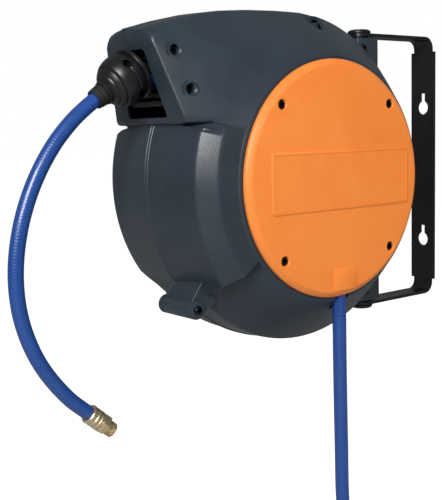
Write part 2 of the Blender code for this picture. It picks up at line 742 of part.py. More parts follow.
def make_side_cover():
    back = CONE_Y + FIT
    front = back + COVER_DEPTH
    across, down = COVER_CHAMFER
    inner = COVER_RADIUS - COVER_THICK
    profile = [(0, front), (COVER_RADIUS - across, front), (COVER_RADIUS, front - down), (COVER_RADIUS, back),
               (inner, back), (inner, front - COVER_THICK - 1.0), (inner - 3.0, front - COVER_THICK),
                   (0, front - COVER_THICK)]
    cover = turned("side_cover", profile, (0, 0, 0), (0, -1, 0), COVER_ORANGE)
    wide, tall = PANEL_SIZE
    lift = front + PANEL_HEIGHT
    panel = box("cover_panel", (PANEL_X - wide / 2, -lift, -tall / 2),
                (PANEL_X + wide / 2, -front + 1.2, tall / 2))
    tab_low = -COVER_RADIUS + 5.5
    tab = box("cover_tab", (TAB_X - TAB_SIZE[0] / 2, -lift, tab_low),
              (TAB_X + TAB_SIZE[0] / 2, -front + 1.2, tab_low + TAB_SIZE[1] - 4.0))
    join(cover, panel, tab)
    for i, (x, z) in enumerate(cover_screws()):
        post = rod(f"cover_post_{i}", SCREW_HEAD_RADIUS + 2.6, COVER_DEPTH - 1.2,
                   (x, -(front + back) / 2, z), (0, 1, 0), steps=16)
        join(cover, post)
        cut(cover, rod(f"cover_hole_{i}", SCREW_RADIUS + FIT, 30, (x, -front, z), (0, 1, 0), steps=12))
        cut(cover, rod(f"cover_recess_{i}", SCREW_HEAD_RADIUS + FIT, 2 * (SCREW_HEAD + 0.9),
                       (x, -front, z), (0, 1, 0), steps=16))
    half = INLET_SLOT_WIDTH / 2
    cut(cover, box("cover_hose_notch", (INLET_X - half, INLET_Y - HOSE_RADIUS - 0.8, -110.0),
                   (INLET_X + half, -back + 5, -COVER_RADIUS + 12.0)))
    return cover


def make_screw(name, head_at, length, middle, axis, head_radius=SCREW_HEAD_RADIUS):
    """Pan-head screw: its axis points from tip to head, and head_at is the underside of the head."""
    top = head_at + SCREW_HEAD
    profile = [(0, top), (head_radius - 1.4, top), (head_radius - 0.3, top - 1.0),
               (head_radius - 0.3, head_at),
               (SCREW_RADIUS, head_at), (SCREW_RADIUS, head_at - length + 2.0), (0, head_at - length)]
    screw = turned(name, profile, middle, axis, BLACK_STEEL, 12)
    socket = [component * (top + 1.0) + place for component, place in zip(axis, middle)]
    cut(screw, rod(f"{name}_socket", 1.7, 4.6, socket, axis, steps=6))
    return screw


def make_case_screws():
    made = []
    front = CONE_Y + FIT + COVER_DEPTH
    for i, (x, z) in enumerate(cover_screws(), 1):
        made.append(make_screw(f"cover_screw_{i}", front - SCREW_HEAD - 0.9 + FIT, 18.0, (x, 0, z),
                               (0, -1, 0)))
    for side, hand in ((-1, "front"), (1, "rear")):
        for (x, z), level in zip(NOSE_SCREWS, ("upper", "lower")):
            seat = nose_side_y(x, z) - NOSE_CUP_DEPTH + 1.5 + FIT
            made.append(make_screw(f"nose_screw_{hand}_{level}", seat, seat - GUIDE_HALF_WIDTH + 1.0,
                                   (x, 0, z), (0, side, 0)))
    x, z = TOP_SCREW
    made.append(make_screw("case_screw_top", SCALLOP_FLOOR + FIT, 40.0, (x, 0, z), (0, -1, 0)))
    x, z = LOWER_LUG
    made.append(make_screw("case_screw_lower_front", LOWER_LUG_REACH[-1] + FIT, 46.0, (x, 0, z), (0, -1, 0)))
    for end, level in ((1, "upper"), (-1, "lower")):
        where = (REAR_SCREW_X, 0, end * REAR_SCREW_Z)
        made.append(make_screw(f"case_screw_rear_{level}", LUG_HALF_WIDTH + FIT, 20.0, where, (0, -1, 0)))
    return made


# ---------------------------------------------------------------- drum, axle, spring, ratchet

def make_drum():
    wide = DRUM_HALF_WIDTH
    inner = HUB_RADIUS - HUB_WALL
    web = 1.5
    bore = BUSH_RADIUS + FIT
    hub = [(bore, wide), (BOSS_RADIUS, wide), (BOSS_RADIUS, web), (inner, web), (inner, wide),
           (HUB_RADIUS, wide),
           (HUB_RADIUS, -wide), (inner, -wide), (inner, -web), (BOSS_RADIUS, -web),
               (BOSS_RADIUS, -wide), (bore, -wide)]
    pieces = [turned("drum_hub", hub, material=CASE_GREY, steps=28)]
    low = wide + FIT
    for name, side in (("drum_front_flange", -1), ("drum_rear_flange", 1)):
        disc = [(BOSS_RADIUS - 3.0, low), (FLANGE_RADIUS, low), (FLANGE_RADIUS, low + FLANGE - 1.2),
                (FLANGE_RADIUS - 1.8, low + FLANGE), (BOSS_RADIUS - 3.0, low + FLANGE)]
        pieces.append(turned(name, disc, (0, 0, 0), (0, side, 0), BLACK_PLASTIC, 32))
    pack = [(HUB_RADIUS + FIT, wide - FIT), (PACK_OUTER_RADIUS - 3, wide - FIT),
            (PACK_OUTER_RADIUS, wide - 3), (PACK_OUTER_RADIUS, -wide + 3),
            (PACK_OUTER_RADIUS - 3, -wide + FIT), (HUB_RADIUS + FIT, -wide + FIT)]
    pieces.append(turned("wound_hose", pack, material=BLUE_HOSE, steps=28))
    return pieces


def make_axle():
    front = BULKHEAD_Y + 1.6
    back = CONE_Y + 12.0
    axle = turned("axle", [(0, front), (AXLE_RADIUS - 1, front), (AXLE_RADIUS, front - 1),
                           (AXLE_RADIUS, -back + 1), (AXLE_RADIUS - 1, -back), (0, -back)],
                  material=ZINC_STEEL, steps=SMALL_STEPS)
    washer_at = CONE_Y + FIT
    washer = turned("axle_washer", [(AXLE_RADIUS + FIT, washer_at), (16, washer_at),
                                    (16, washer_at + 1.6), (AXLE_RADIUS + FIT, washer_at + 1.6)],
                    (0, 0, 0), (0, 1, 0), ZINC_STEEL, SMALL_STEPS)
    nut_low = washer_at + 1.6 + FIT
    nut = rod("axle_nut", 13.8, 7.0, (0, nut_low + 3.5, 0), (0, 1, 0), ZINC_STEEL, 6)
    cut(nut, rod("axle_nut_bore", AXLE_RADIUS + FIT, 20, (0, nut_low + 3.5, 0), (0, 1, 0)))
    bushes = []
    for name, side in (("front_bush", -1), ("rear_bush", 1)):
        far = DRUM_HALF_WIDTH - FIT
        ring = [(AXLE_RADIUS + SPIN_GAP, far - BUSH_LENGTH), (BUSH_RADIUS, far - BUSH_LENGTH),
                (BUSH_RADIUS, far), (AXLE_RADIUS + SPIN_GAP, far)]
        bushes.append(turned(name, ring, (0, 0, 0), (0, side, 0), WHITE_NYLON, SMALL_STEPS))
    return axle, washer, nut, bushes


def make_spring():
    """Spring cup and lid on the drum's rear flange, with the spiral spring inside."""
    floor = DRUM_HALF_WIDTH + 2 * FIT + FLANGE
    top = floor + SPRING_CUP_DEPTH
    hole = BOSS_RADIUS - 3.0
    cup = turned("spring_cup", [(hole, floor), (SPRING_CUP_RADIUS, floor), (SPRING_CUP_RADIUS, top),
                                (SPRING_CUP_RADIUS - CUP_WALL, top),
                                (SPRING_CUP_RADIUS - CUP_WALL, floor + CUP_WALL),
                                    (hole, floor + CUP_WALL)], (0, 0, 0), (0, 1, 0), ZINC_STEEL, 28)
    lid_low = top + FIT
    lid = turned("spring_lid", [(hole, lid_low), (SPRING_CUP_RADIUS, lid_low),
                                (SPRING_CUP_RADIUS, lid_low + CUP_WALL), (hole, lid_low + CUP_WALL)],
                 (0, 0, 0), (0, 1, 0), ZINC_STEEL, 28)
    low = floor + CUP_WALL + 1.2
    high = top - 1.2
    inner = AXLE_RADIUS + 1.2
    outer = SPRING_CUP_RADIUS - CUP_WALL - 1.5
    bm = bmesh.new()
    rail = []
    count = SPRING_TURNS * 14
    for i in range(count + 1):
        share = i / count
        angle = share * SPRING_TURNS * math.tau
        radius = inner + (outer - inner) * share
        rail.append(bm.verts.new((radius * math.cos(angle), low, radius * math.sin(angle))))
    edges = [bm.edges.new(pair) for pair in zip(rail, rail[1:])]
    swept = bmesh.ops.extrude_edge_only(bm, edges=edges)
    bmesh.ops.translate(bm, vec=(0, high - low, 0), verts=[g for g in swept["geom"] if isinstance(g,
            bmesh.types.BMVert)])
    spring = from_bmesh("main_spring", bm, SPRING_STEEL)
    solid = spring.modifiers.new("strip", "SOLIDIFY")
    solid.thickness = SPRING_STRIP * MM
    solid.offset = 0
    return cup, lid, spring


def make_ratchet():
    """Sawtooth ring on the drum's front flange and the spring-loaded pawl that holds the drum."""
    outline = []
    pitch = math.tau / RATCHET_TEETH
    for i in range(RATCHET_TEETH):
        for share, radius in ((0.0, RATCHET_RADIUS - RATCHET_TOOTH), (0.85, RATCHET_RADIUS)):
            angle = (i + share) * pitch
            outline.append((radius * math.cos(angle), radius * math.sin(angle)))
    thick = RATCHET_THICK
    y = -(DRUM_HALF_WIDTH + 2 * FIT + FLANGE + thick / 2)
    wheel = slab("ratchet_ring", [outline, circle(BOSS_RADIUS, 24)], thick, (0, y, 0), WHITE_NYLON)
    px, pz = PAWL_PIVOT
    to_wheel = Vector((-px, 0, -pz)).normalized()
    across = Vector((-to_wheel.z, 0, to_wheel.x))
    reach = math.hypot(px, pz) - RATCHET_RADIUS - 1.2
    shape = [(-6.0, -4.0), (-6.0, 4.0), (0.0, 6.0), (reach - 5.0, 5.5), (reach, 1.0),
             (reach - 3.0, -3.5), (0.0, -6.0)]
    outline = [(to_wheel.x * u + across.x * v, to_wheel.z * u + across.z * v) for u, v in shape]
    pawl = slab("pawl", [outline, circle(PAWL_PIN_RADIUS + FIT, 12)], thick - 1.0, (px, y, pz), BLACK_PLASTIC)
    back = BULKHEAD_Y - BULKHEAD - FIT
    pin = turned("pawl_pin", [(0, back), (5.0, back), (5.0, back - 0.8), (PAWL_PIN_RADIUS, back - 0.8),
                              (PAWL_PIN_RADIUS, back - 6.6), (0, back - 6.6)],
                 (px, 0, pz), (0, -1, 0), ZINC_STEEL, 12)
    return wheel, pawl, pin


# ---------------------------------------------------------------- roller guide in the nose

def make_roller_guide():
    x0, x1 = GUIDE_X
    wide, tall, wall = GUIDE_HALF_WIDTH, GUIDE_HALF_HEIGHT, GUIDE_WALL
    z = HOSE_AXIS_Z
    frame = box("roller_guide", (x0, -wide, z - tall), (x1, wide, z + tall), BLACK_PLASTIC)
    cut(frame, box("guide_window", (x0 - 5, -wide + wall, z - tall + wall),
                   (x1 + 5, wide - wall, z + tall - wall)))
    for side in (-1, 1):
        for i, (x, screw_z) in enumerate(NOSE_SCREWS):
            reach = nose_side_y(x, screw_z) - 1.5 - NOSE_CUP_DEPTH - FIT
            low = wide - wall + 1.0
            post = rod(f"guide_post_{side + 1}{i}", 5.2, reach - low,
                       (x, side * (reach + low) / 2, screw_z), (0, 1, 0), steps=10)
            join(frame, post)
            hole = rod(f"guide_pilot_{side + 1}{i}", SCREW_RADIUS + FIT, 60, (x, side * 50.0, screw_z),
                       (0, 1, 0), steps=8)
            cut(frame, hole)
    rollers = []
    off = HOSE_RADIUS + ROLLER_CLEAR + ROLLER_RADIUS
    front, rear = x0 + 8.0, x1 - 8.0
    spots = (("upper_roller", (front, 0, z + off), (0, 1, 0), wide - wall),
             ("lower_roller", (front, 0, z - off), (0, 1, 0), wide - wall),
             ("front_side_roller", (rear, -off, z), (0, 0, 1), tall - wall),
                 ("rear_side_roller", (rear, off, z), (0, 0, 1), tall - wall))
    for name, middle, axis, half in spots:
        body = half - SPIN_GAP
        end = half + wall - 1.0
        profile = [(0, end), (ROLLER_STUB, end), (ROLLER_STUB, body), (ROLLER_RADIUS, body),
                   (ROLLER_RADIUS, -body), (ROLLER_STUB, -body), (ROLLER_STUB, -end), (0, -end)]
        rollers.append(turned(name, profile, middle, axis, BLACK_PLASTIC, 16))
        cut(frame, rod(f"{name}_seat", ROLLER_STUB + SPIN_GAP, 2 * (end + 3.0), middle, axis, steps=8))
    return frame, rollers


# ---------------------------------------------------------------- ball stop, hose and its end fitting

OUTLET_ROUTE = [(-196.0, 62.0), (-206.8, 53.0), (-219.8, 39.5), (-230.6, 25.0), (-239.3, 10.5),
                (-246.2, -4.0),
                (-251.6, -18.5), (-255.5, -33.0), (-258.1, -47.5), (-259.3, -62.5), (-258.9, -77.5),
                    (-256.7, -93.0), (-252.3, -109.0),
                (-245.2, -126.0), (-234.6, -143.5), (-220.2, -161.5), (-204.5, -176.0)]


def ball_axis():
    tilt = math.radians(BALL_TILT)
    return Vector((-math.cos(tilt), 0, -math.sin(tilt)))


def make_ball_stop():
    """Two clamped halves around the hose, split on the plane y = 0."""
    centre = (BALL_X, 0, HOSE_AXIS_Z)
    bore = HOSE_RADIUS + FIT
    neck = 9.6
    front = BALL_FRONT
    rear = 12.5
    profile = [(bore, front), (neck, front)]
    start = math.asin(neck / BALL_RADIUS)
    stop = math.radians(115)
    for i in range(7):
        angle = start + (stop - start) * i / 6
        profile.append((BALL_RADIUS * math.sin(angle), BALL_RADIUS * math.cos(angle)))
    profile += [(BALL_RADIUS + 0.8, -rear + 3.4), (BALL_RADIUS + 0.8, -rear), (14.0, -rear),
                (bore + 1.5, -rear)]
    axis = ball_axis()
    halves = []
    for name, side in (("ball_stop_front_half", -1), ("ball_stop_rear_half", 1)):
        half = turned(name, profile, centre, axis, BLACK_PLASTIC, 22)
        room = rod(f"{name}_hose_room", HOSE_RADIUS + 1.2, 60.0, (BALL_X + 30.0, 0, HOSE_AXIS_Z), (1, 0, 0))
        cut(half, room)
        low = (-230, -FIT / 2, 0) if side < 0 else (-230, -60, 0)
        high = (-100, 60, 150) if side < 0 else (-100, FIT / 2, 150)
        cut(half, box(f"{name}_split", low, high))
        for i, (x, z) in enumerate(ball_screws()):
            cut(half, rod(f"{name}_screw_hole_{i}", SCREW_RADIUS + FIT, 50, (x, 0, z), (0, 1, 0), steps=12))
            if side < 0:
                cut(half, rod(f"{name}_recess_{i}", SCREW_HEAD_RADIUS - 0.6, 20.0, (x, -16.0, z),
                              (0, 1, 0), steps=16))
        halves.append(half)
    screws = []
    for i, (x, z) in enumerate(ball_screws(), 1):
        screws.append(make_screw(f"ball_stop_screw_{i}", 6.0 + FIT, 15.0, (x, 0, z), (0, -1, 0),
                                 head_radius=3.2))
    return halves, screws


def ball_screws():
    """Two screws, above and below the hose, seen along Y."""
    axis = ball_axis()
    across = Vector((-axis.z, 0, axis.x))
    spots = []
    for side in (-1, 1):
        spot = Vector((BALL_X, 0, HOSE_AXIS_Z)) + across * 12.8 * side - axis * 1.0
        spots.append((spot.x, spot.z))
    return spots


def along_ball(distance):
    spot = Vector((BALL_X, 0, HOSE_AXIS_Z)) + ball_axis() * distance
    return tuple(spot)


def make_hose_end():
    first = BALL_FRONT + FIT
    collar = turned("hose_collar", [(HOSE_RADIUS + FIT, COLLAR_LENGTH),
                                    (COLLAR_RADIUS - 1.0, COLLAR_LENGTH),
        (COLLAR_RADIUS, COLLAR_LENGTH - 1.5),
                                    (COLLAR_RADIUS, 0), (HOSE_RADIUS + FIT, 0)], along_ball(first),
                                        ball_axis(), RUBBER, SMALL_STEPS)
    start = along_ball(first + COLLAR_LENGTH - 2.0)
    points = [start] + [(x, 0, z) for x, z in OUTLET_ROUTE]
    route = smooth_route(points, 13.0)
    hose = tube("outlet_hose", route, HOSE_RADIUS, BLUE_HOSE, 2)
    inner = [along_ball(first + COLLAR_LENGTH - 2.0 - 5 * FIT), along_ball(16.0), along_ball(4.0),
             (BALL_X + 10, 0, HOSE_AXIS_Z + 0.5),
             (BALL_X + 24, 0, HOSE_AXIS_Z), (-110, 0, HOSE_AXIS_Z), (-60, 0, HOSE_AXIS_Z),
                 (-8, 0, HOSE_AXIS_Z)]
    lead = tube("hose_lead", smooth_route(inner, 16.0), HOSE_RADIUS - FIT, BLUE_HOSE, 2)
    end = route[-1]
    axis = (route[-1] - route[-2]).normalized()
    fittings = make_fitting("outlet", end, axis)
    return collar, hose, lead, fittings


def make_fitting(name, end, axis):
    """Crimped ferrule and male threaded nipple on the end of a hose."""
    start = end + axis * FIT
    ferrule_profile = [(0, 0), (FERRULE_RADIUS - 0.8, 0), (FERRULE_RADIUS, 1.0), (FERRULE_RADIUS, 4.0),
                       (FERRULE_RADIUS - 0.8, 5.0),
                       (FERRULE_RADIUS - 0.8, 8.0), (FERRULE_RADIUS, 9.0),
                           (FERRULE_RADIUS, FERRULE_LENGTH - 1.0),
                           (FERRULE_RADIUS - 1.0, FERRULE_LENGTH), (0, FERRULE_LENGTH)]
    ferrule = turned(f"{name}_ferrule", ferrule_profile, tuple(start), axis, BRASS, SMALL_STEPS)
    hex_start = start + axis * (FERRULE_LENGTH + FIT)
    nipple = rod(f"{name}_nipple", HEX_ACROSS / math.sqrt(3), HEX_LENGTH,
                 tuple(hex_start + axis * HEX_LENGTH / 2), axis, BRASS, 6)
    thread = [(0, HEX_LENGTH + THREAD_LENGTH), (THREAD_RADIUS - 1.0, HEX_LENGTH + THREAD_LENGTH),
              (THREAD_RADIUS, HEX_LENGTH + THREAD_LENGTH - 1.0),
              (THREAD_RADIUS, HEX_LENGTH + 1.5), (THREAD_RADIUS - 0.9, HEX_LENGTH + 1.0),
                  (THREAD_RADIUS - 0.9, 1.0), (0, 1.0)]
    join(nipple, turned(f"{name}_thread", thread, tuple(hex_start), axis, steps=SMALL_STEPS))
    cut(nipple, rod(f"{name}_nipple_bore", 3.6, 30.0,
                    tuple(hex_start + axis * (HEX_LENGTH + THREAD_LENGTH)), axis, steps=16))
    return ferrule, nipple


# ---------------------------------------------------------------- air inlet

# x and y from the exit, and z.
# The last point lies beside the coil's left-hand side, in line with its front turn.
INLET_FREE_ROUTE = [(0, 0, -118.3), (0, 0, -160.0), (0.3, 0, -200.0), (0.8, 0, -240.0), (1.3, 0, -280.0),
                    (1.2, -3.0, -315.0), (1.0, -5.8, -347.0)]


def make_swivel():
    low, high = SWIVEL_Y
    body = turned("swivel_body", [(0, high), (SWIVEL_RADIUS - 2, high), (SWIVEL_RADIUS, high - 2),
                                  (SWIVEL_RADIUS, low), (0, low)], material=BRASS, steps=SMALL_STEPS)
    join(body, rod("swivel_leg", 6.5, 27.0, (0, -BARB_Y, -13.5), (0, 0, 1)))
    nut_low = -27.0 - FIT
    nut = rod("inlet_nut", 8.6, 8.0, (0, -BARB_Y, nut_low - 4.0), (0, 0, 1), BRASS, 6)
    seal = turned("swivel_seal", [(AXLE_RADIUS + FIT, BULKHEAD_Y + FIT), (11.5, BULKHEAD_Y + FIT),
                                  (11.5, SWIVEL_Y[0] - FIT), (AXLE_RADIUS + FIT, SWIVEL_Y[0] - FIT)],
                  material=RUBBER, steps=SMALL_STEPS)
    first = nut_low - 8.0 - FIT
    straight = 10.0
    drop = POCKET_RADIUS - 36.0
    inner = [(0.0, -BARB_Y, first)]
    for part, down in ((0.03, 0.0), (0.3, 0.24), (0.75, 0.48), (0.98, 0.72), (1.0, 1.0)):
        inner.append((INLET_X * part, -BARB_Y + (INLET_Y + BARB_Y) * part, first - straight - drop * down))
    inner.append((INLET_X, INLET_Y, INLET_EXIT_Z))
    supply = tube("inlet_hose_inner", smooth_route(inner, 12.0), HOSE_RADIUS, BLUE_HOSE)
    return body, nut, seal, supply


def make_inlet_hose():
    """Supply hose that hangs below the case, its spare length tied in an upright coil."""
    chosen = [(INLET_X + dx, INLET_Y + dy, z) for dx, dy, z in INLET_FREE_ROUTE]
    hose = tube("inlet_hose", smooth_route(chosen, 14.0), HOSE_RADIUS, BLUE_HOSE, 2)
    half_wide = COIL_TURNS * HOSE_RADIUS
    outer = COIL_RADIUS + HOSE_RADIUS
    inner = COIL_RADIUS - HOSE_RADIUS
    corner = 3.0
    section = [(inner, half_wide - corner), (inner + corner, half_wide), (outer - corner, half_wide),
               (outer, half_wide - corner),
               (outer, -half_wide + corner), (outer - corner, -half_wide), (inner + corner, -half_wide),
                   (inner, -half_wide + corner)]
    # The hose runs down into the coil's left-hand side.
    meet_x = INLET_X + INLET_FREE_ROUTE[-1][0]
    meet_z = INLET_FREE_ROUTE[-1][2]
    drop = math.sqrt((outer + COIL_TOP_GAP) ** 2 - inner ** 2)
    centre = (meet_x + COIL_RADIUS, INLET_Y, meet_z - drop)
    coil = turned("inlet_hose_coil", section, centre, (0, -1, 0), BLUE_HOSE, 28)
    tie = ring_tie("coil_tie", centre, half_wide)
    end = Vector((meet_x, INLET_Y + (COIL_TURNS + 1) * HOSE_RADIUS, centre[2] - COIL_TAIL))
    return hose, coil, tie, end, Vector((0, 0, -1.0))


def ring_tie(name, centre, half_wide):
    """Strap round all the turns, on the coil's right-hand side."""
    x, y, z = centre[0] + COIL_RADIUS, centre[1], centre[2]
    low = (HOSE_RADIUS + TIE_SLACK, half_wide + TIE_SLACK)
    high = (low[0] + TIE_THICK, low[1] + TIE_THICK)
    half = TIE_WIDTH / 2
    strap = box(name, (x - high[0], y - high[1], z - half), (x + high[0], y + high[1], z + half),
                BLACK_PLASTIC)
    cut(strap, box(name + "_inside", (x - low[0], y - low[1], z - 2 * half),
                   (x + low[0], y + low[1], z + 2 * half)))
    return strap


# ---------------------------------------------------------------- assembly

def add_empty(name, where):
    empty = bpy.data.objects.new(name, None)
    PARTS.objects.link(empty)
    empty.location = where
    return empty


def carry(parent, *children):
    """Parents pieces to an unturned empty and keeps them where they are."""
    for child in children:
        child.parent = parent
        child.location = child.location - world_place(parent)


def world_place(obj):
    where = Vector(obj.location)
    if obj.parent:
        where = where + world_place(obj.parent)
    return where


def build():
    make_wall_bracket()
    make_pivot("upper", 1)
    make_pivot("lower", -1)
    case = add_empty("case_pivot", place(PIVOT_X, 0, 0))
    shells = [make_half_shell("front_shell", -1), make_half_shell("rear_shell", 1)]
    carry(case, *shells, make_side_cover(), *make_case_screws())
    frame, rollers = make_roller_guide()
    axle, washer, nut, bushes = make_axle()
    carry(case, axle, washer, nut, frame, *rollers)
    cup, lid, spring = make_spring()
    wheel, pawl, pin = make_ratchet()
    carry(case, spring, pawl, pin, *make_swivel())
    hose, coil, tie, end, axis = make_inlet_hose()
    carry(case, hose, coil, tie, *make_fitting("inlet", end, axis))
    drum = add_empty("drum_axis", place(0, 0, 0))
    carry(drum, *make_drum(), *bushes, cup, lid, wheel)
    slide = add_empty("hose_slide", place(BALL_X, 0, HOSE_AXIS_Z))
    halves, screws = make_ball_stop()
    collar, outlet, lead, fittings = make_hose_end()
    carry(slide, *halves, *screws, collar, outlet, lead, *fittings)
    carry(case, drum, slide)


build()
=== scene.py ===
import json
import math

import bmesh
import bpy
from mathutils import Matrix, Vector


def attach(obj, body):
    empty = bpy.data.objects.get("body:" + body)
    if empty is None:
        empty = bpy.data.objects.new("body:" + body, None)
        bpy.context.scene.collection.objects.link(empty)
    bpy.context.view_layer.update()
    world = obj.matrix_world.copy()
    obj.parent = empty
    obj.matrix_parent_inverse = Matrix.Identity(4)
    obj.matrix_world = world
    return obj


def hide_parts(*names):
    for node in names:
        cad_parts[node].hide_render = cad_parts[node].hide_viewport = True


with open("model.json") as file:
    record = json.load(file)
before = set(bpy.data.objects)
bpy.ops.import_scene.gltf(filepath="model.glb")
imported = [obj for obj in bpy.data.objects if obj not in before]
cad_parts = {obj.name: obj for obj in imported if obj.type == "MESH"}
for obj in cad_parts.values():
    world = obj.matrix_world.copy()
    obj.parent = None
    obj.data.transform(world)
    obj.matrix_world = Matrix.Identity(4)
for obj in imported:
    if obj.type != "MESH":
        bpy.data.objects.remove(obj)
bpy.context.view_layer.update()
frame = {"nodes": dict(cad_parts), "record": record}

# ---------------------------------------------------------------- measures
# Millimetres from the drum's axis: +X to the wall, -Y to the orange cover, +Z up.

MM = 0.001
WALL_TO_AXIS = 205.5
ORIGIN_Z = 7.25                # wall screws' midpoint above the drum's axis
GAP = 0.3                      # between touching pieces
PLACE = Matrix.Translation(Vector((-WALL_TO_AXIS, 0, -ORIGIN_Z)) * MM) @ Matrix.Scale(MM, 4)

# Bracket
SHEET = 3.0
PLATE_WIDTH = 29.0
PLATE_HALF_HEIGHT = 117.0
ARM_WIDTH = 22.0
ARM_TOP = 131.5
BEND_RADIUS = 13.0
KEYHOLE_HEAD_Z = (61.0, -75.5)
KEYHOLE_RISE = 14.5
PIVOT_X = 109.0
PIN_RADIUS = 4.0
PIN_HEAD = 3.6
WASHER = 1.0

# Case
RIM_RADIUS = 144.0
RIM_DRAFT = 0.035
RIM_HALF_WIDTH = 29.0
CONE_RADIUS = 104.0
CONE_Y = 73.5
CROWN_RADIUS = 143.0
WALL = 3.0
BEAD_HEIGHT = 0.7
BAND_RADIUS = 141.5
BAND_DRAFT = 0.0776
BAND_Y = 60.5
BAND_INNER_RADIUS = 123.0
BAND_INNER_Y = 73.0
NOSE_END_ANGLE = 138.0
FOOT_ANGLE = 150.0
BAND_ANGLE = 160.0
BAND_END_ANGLE = 217.0
BAND_STEP_ANGLE = 2.0
CROWN_START = 46.0
TOP_LINE = ((0.0, 0.0), (-22.0, 0.0), (-52.0, 1.0), (-80.0, 3.2), (-103.0, 6.5), (-130.0, 12.4))
POCKET_RADIUS = 86.0
BULKHEAD_Y = 58.0
BULKHEAD = 4.0
AXLE_RADIUS = 8.0
LUG_HALF_LENGTH = 14.0
LUG_HALF_WIDTH = 12.0
LUG_TOP = ARM_TOP - SHEET - WASHER - 2 * GAP
NOSE_BOTTOM = 50.0
NOSE_TOP = 124.5
NOSE_FOOT_X = 135.5
NOSE_LEAN = 0.275
NOSE_FOOT_HALF_WIDTH = 51.0
NOSE_TOP_HALF_WIDTH = 33.0
NOSE_SHOULDER = 9.0
MOUTH_BOTTOM = 55.0
MOUTH_TOP = 108.0
MOUTH_FOOT_HALF_WIDTH = 28.0
MOUTH_TOP_HALF_WIDTH = 19.0
NOSE_SCREWS = ((-137.0, 106.0), (-129.0, 76.0))
NOSE_CUP_DEPTH = 8.0
LOWER_LUG = (-122.0, -99.5)
LOWER_LUG_RADIUS = 8.0
LOWER_LUG_REACH = {-1: 39.0, 1: 6.0}
TOP_SCREW = (15.0, 133.5)
SCALLOP_RADIUS = 10.0
SCALLOP_FLOOR = 24.0
REAR_SCREW = (101.0, 117.0)

# Cover
COVER_RADIUS = 100.0
COVER_THICK = 2.7
COVER_DEPTH = 6.0
COVER_SCREW_OFFSET = 62.5
PANEL_SIZE = (161.0, 50.0)
PANEL_X = 5.0
PANEL_HEIGHT = 0.8
TAB_SIZE = (27.0, 24.0)
TAB_X = 5.5
COVER_BACK = CONE_Y + GAP
COVER_FRONT = COVER_BACK + COVER_DEPTH
SCREW_HEAD_RADIUS = 3.8
SCREW_HEAD = 2.6

# Hose
HOSE_RADIUS = 6.0
HOSE_AXIS_Z = 85.0
BALL = Vector((-159.0, 0.0, 85.0))
BALL_RADIUS = 21.0
BALL_FRONT = 21.5
BALL_REAR = 12.5
BALL_TILT = math.radians(30.0)
BALL_AXIS = Vector((-math.cos(BALL_TILT), 0, -math.sin(BALL_TILT)))
COLLAR_LENGTH = 9.0
COLLAR_RADIUS = 8.6
OUTLET_ROUTE = ((-196.0, 62.0), (-206.8, 53.0), (-219.8, 39.5), (-230.6, 25.0), (-239.3, 10.5),
                (-246.2, -4.0),
                (-251.6, -18.5), (-255.5, -33.0), (-258.1, -47.5), (-259.3, -62.5), (-258.9, -77.5),
                    (-256.7, -93.0),
                (-252.3, -109.0), (-245.2, -126.0), (-234.6, -143.5), (-220.2, -161.5), (-204.5, -176.0))
INLET = Vector((7.6, -70.0, -118.0))
COIL_RADIUS = 62.0
COIL_TAIL = 46.0
FERRULE_LENGTH = 13.0
HEX_LENGTH = 6.5
THREAD_LENGTH = 9.0

# Roller guide
GUIDE_X = (-137.0, -109.0)
GUIDE_HALF_WIDTH = 24.0
GUIDE_HALF_HEIGHT = 21.0
GUIDE_WALL = 4.0
ROLLER_RADIUS = 4.6
ROLLER_OFFSET = 11.4


# ---------------------------------------------------------------- materials

def linear(code):
    """An sRGB hex colour as linear RGBA."""
    parts = [int(code[i:i + 2], 16) / 255 for i in (1, 3, 5)]
    return (*[c / 12.92 if c <= 0.04045 else ((c + 0.055) / 1.055) ** 2.4 for c in parts], 1.0)


def add(tree, kind, settings=(), inputs=()):
    """One node, with its settings, and its inputs as values or links."""
    node = tree.nodes.new(kind)
    for key, value in dict(settings).items():
        setattr(node, key, value)
    for key, value in dict(inputs).items():
        if isinstance(value, bpy.types.NodeSocket):
            tree.links.new(value, node.inputs[key])
        else:
            node.inputs[key].default_value = value
    return node


def new_material(name):
    material = bpy.data.materials.new(name)
    material.use_nodes = True
    tree = material.node_tree
    return material, tree, tree.nodes["Principled BSDF"]


def finish(tree, shader, tone, colours, worn, span, rough, height, relief):
    """Colour, sheen and relief, each led by a pattern; relief is a depth in mm and a strength."""
    colour = add(tree, "ShaderNodeMix", {"data_type": "RGBA"},
                 {0: tone, 6: linear(colours[0]), 7: linear(colours[1])})
    tree.links.new(colour.outputs[2], shader.inputs["Base Color"])
    sheen = add(tree, "ShaderNodeMapRange", inputs={"Value": worn, "From Min": span[0], "From Max": span[1],
                                                    "To Min": rough[0], "To Max": rough[1]})
    tree.links.new(sheen.outputs[0], shader.inputs["Roughness"])
    bump = add(tree, "ShaderNodeBump", inputs={"Height": height, "Distance": relief[0] * MM,
            "Strength": relief[1]})
    tree.links.new(bump.outputs["Normal"], shader.inputs["Normal"])


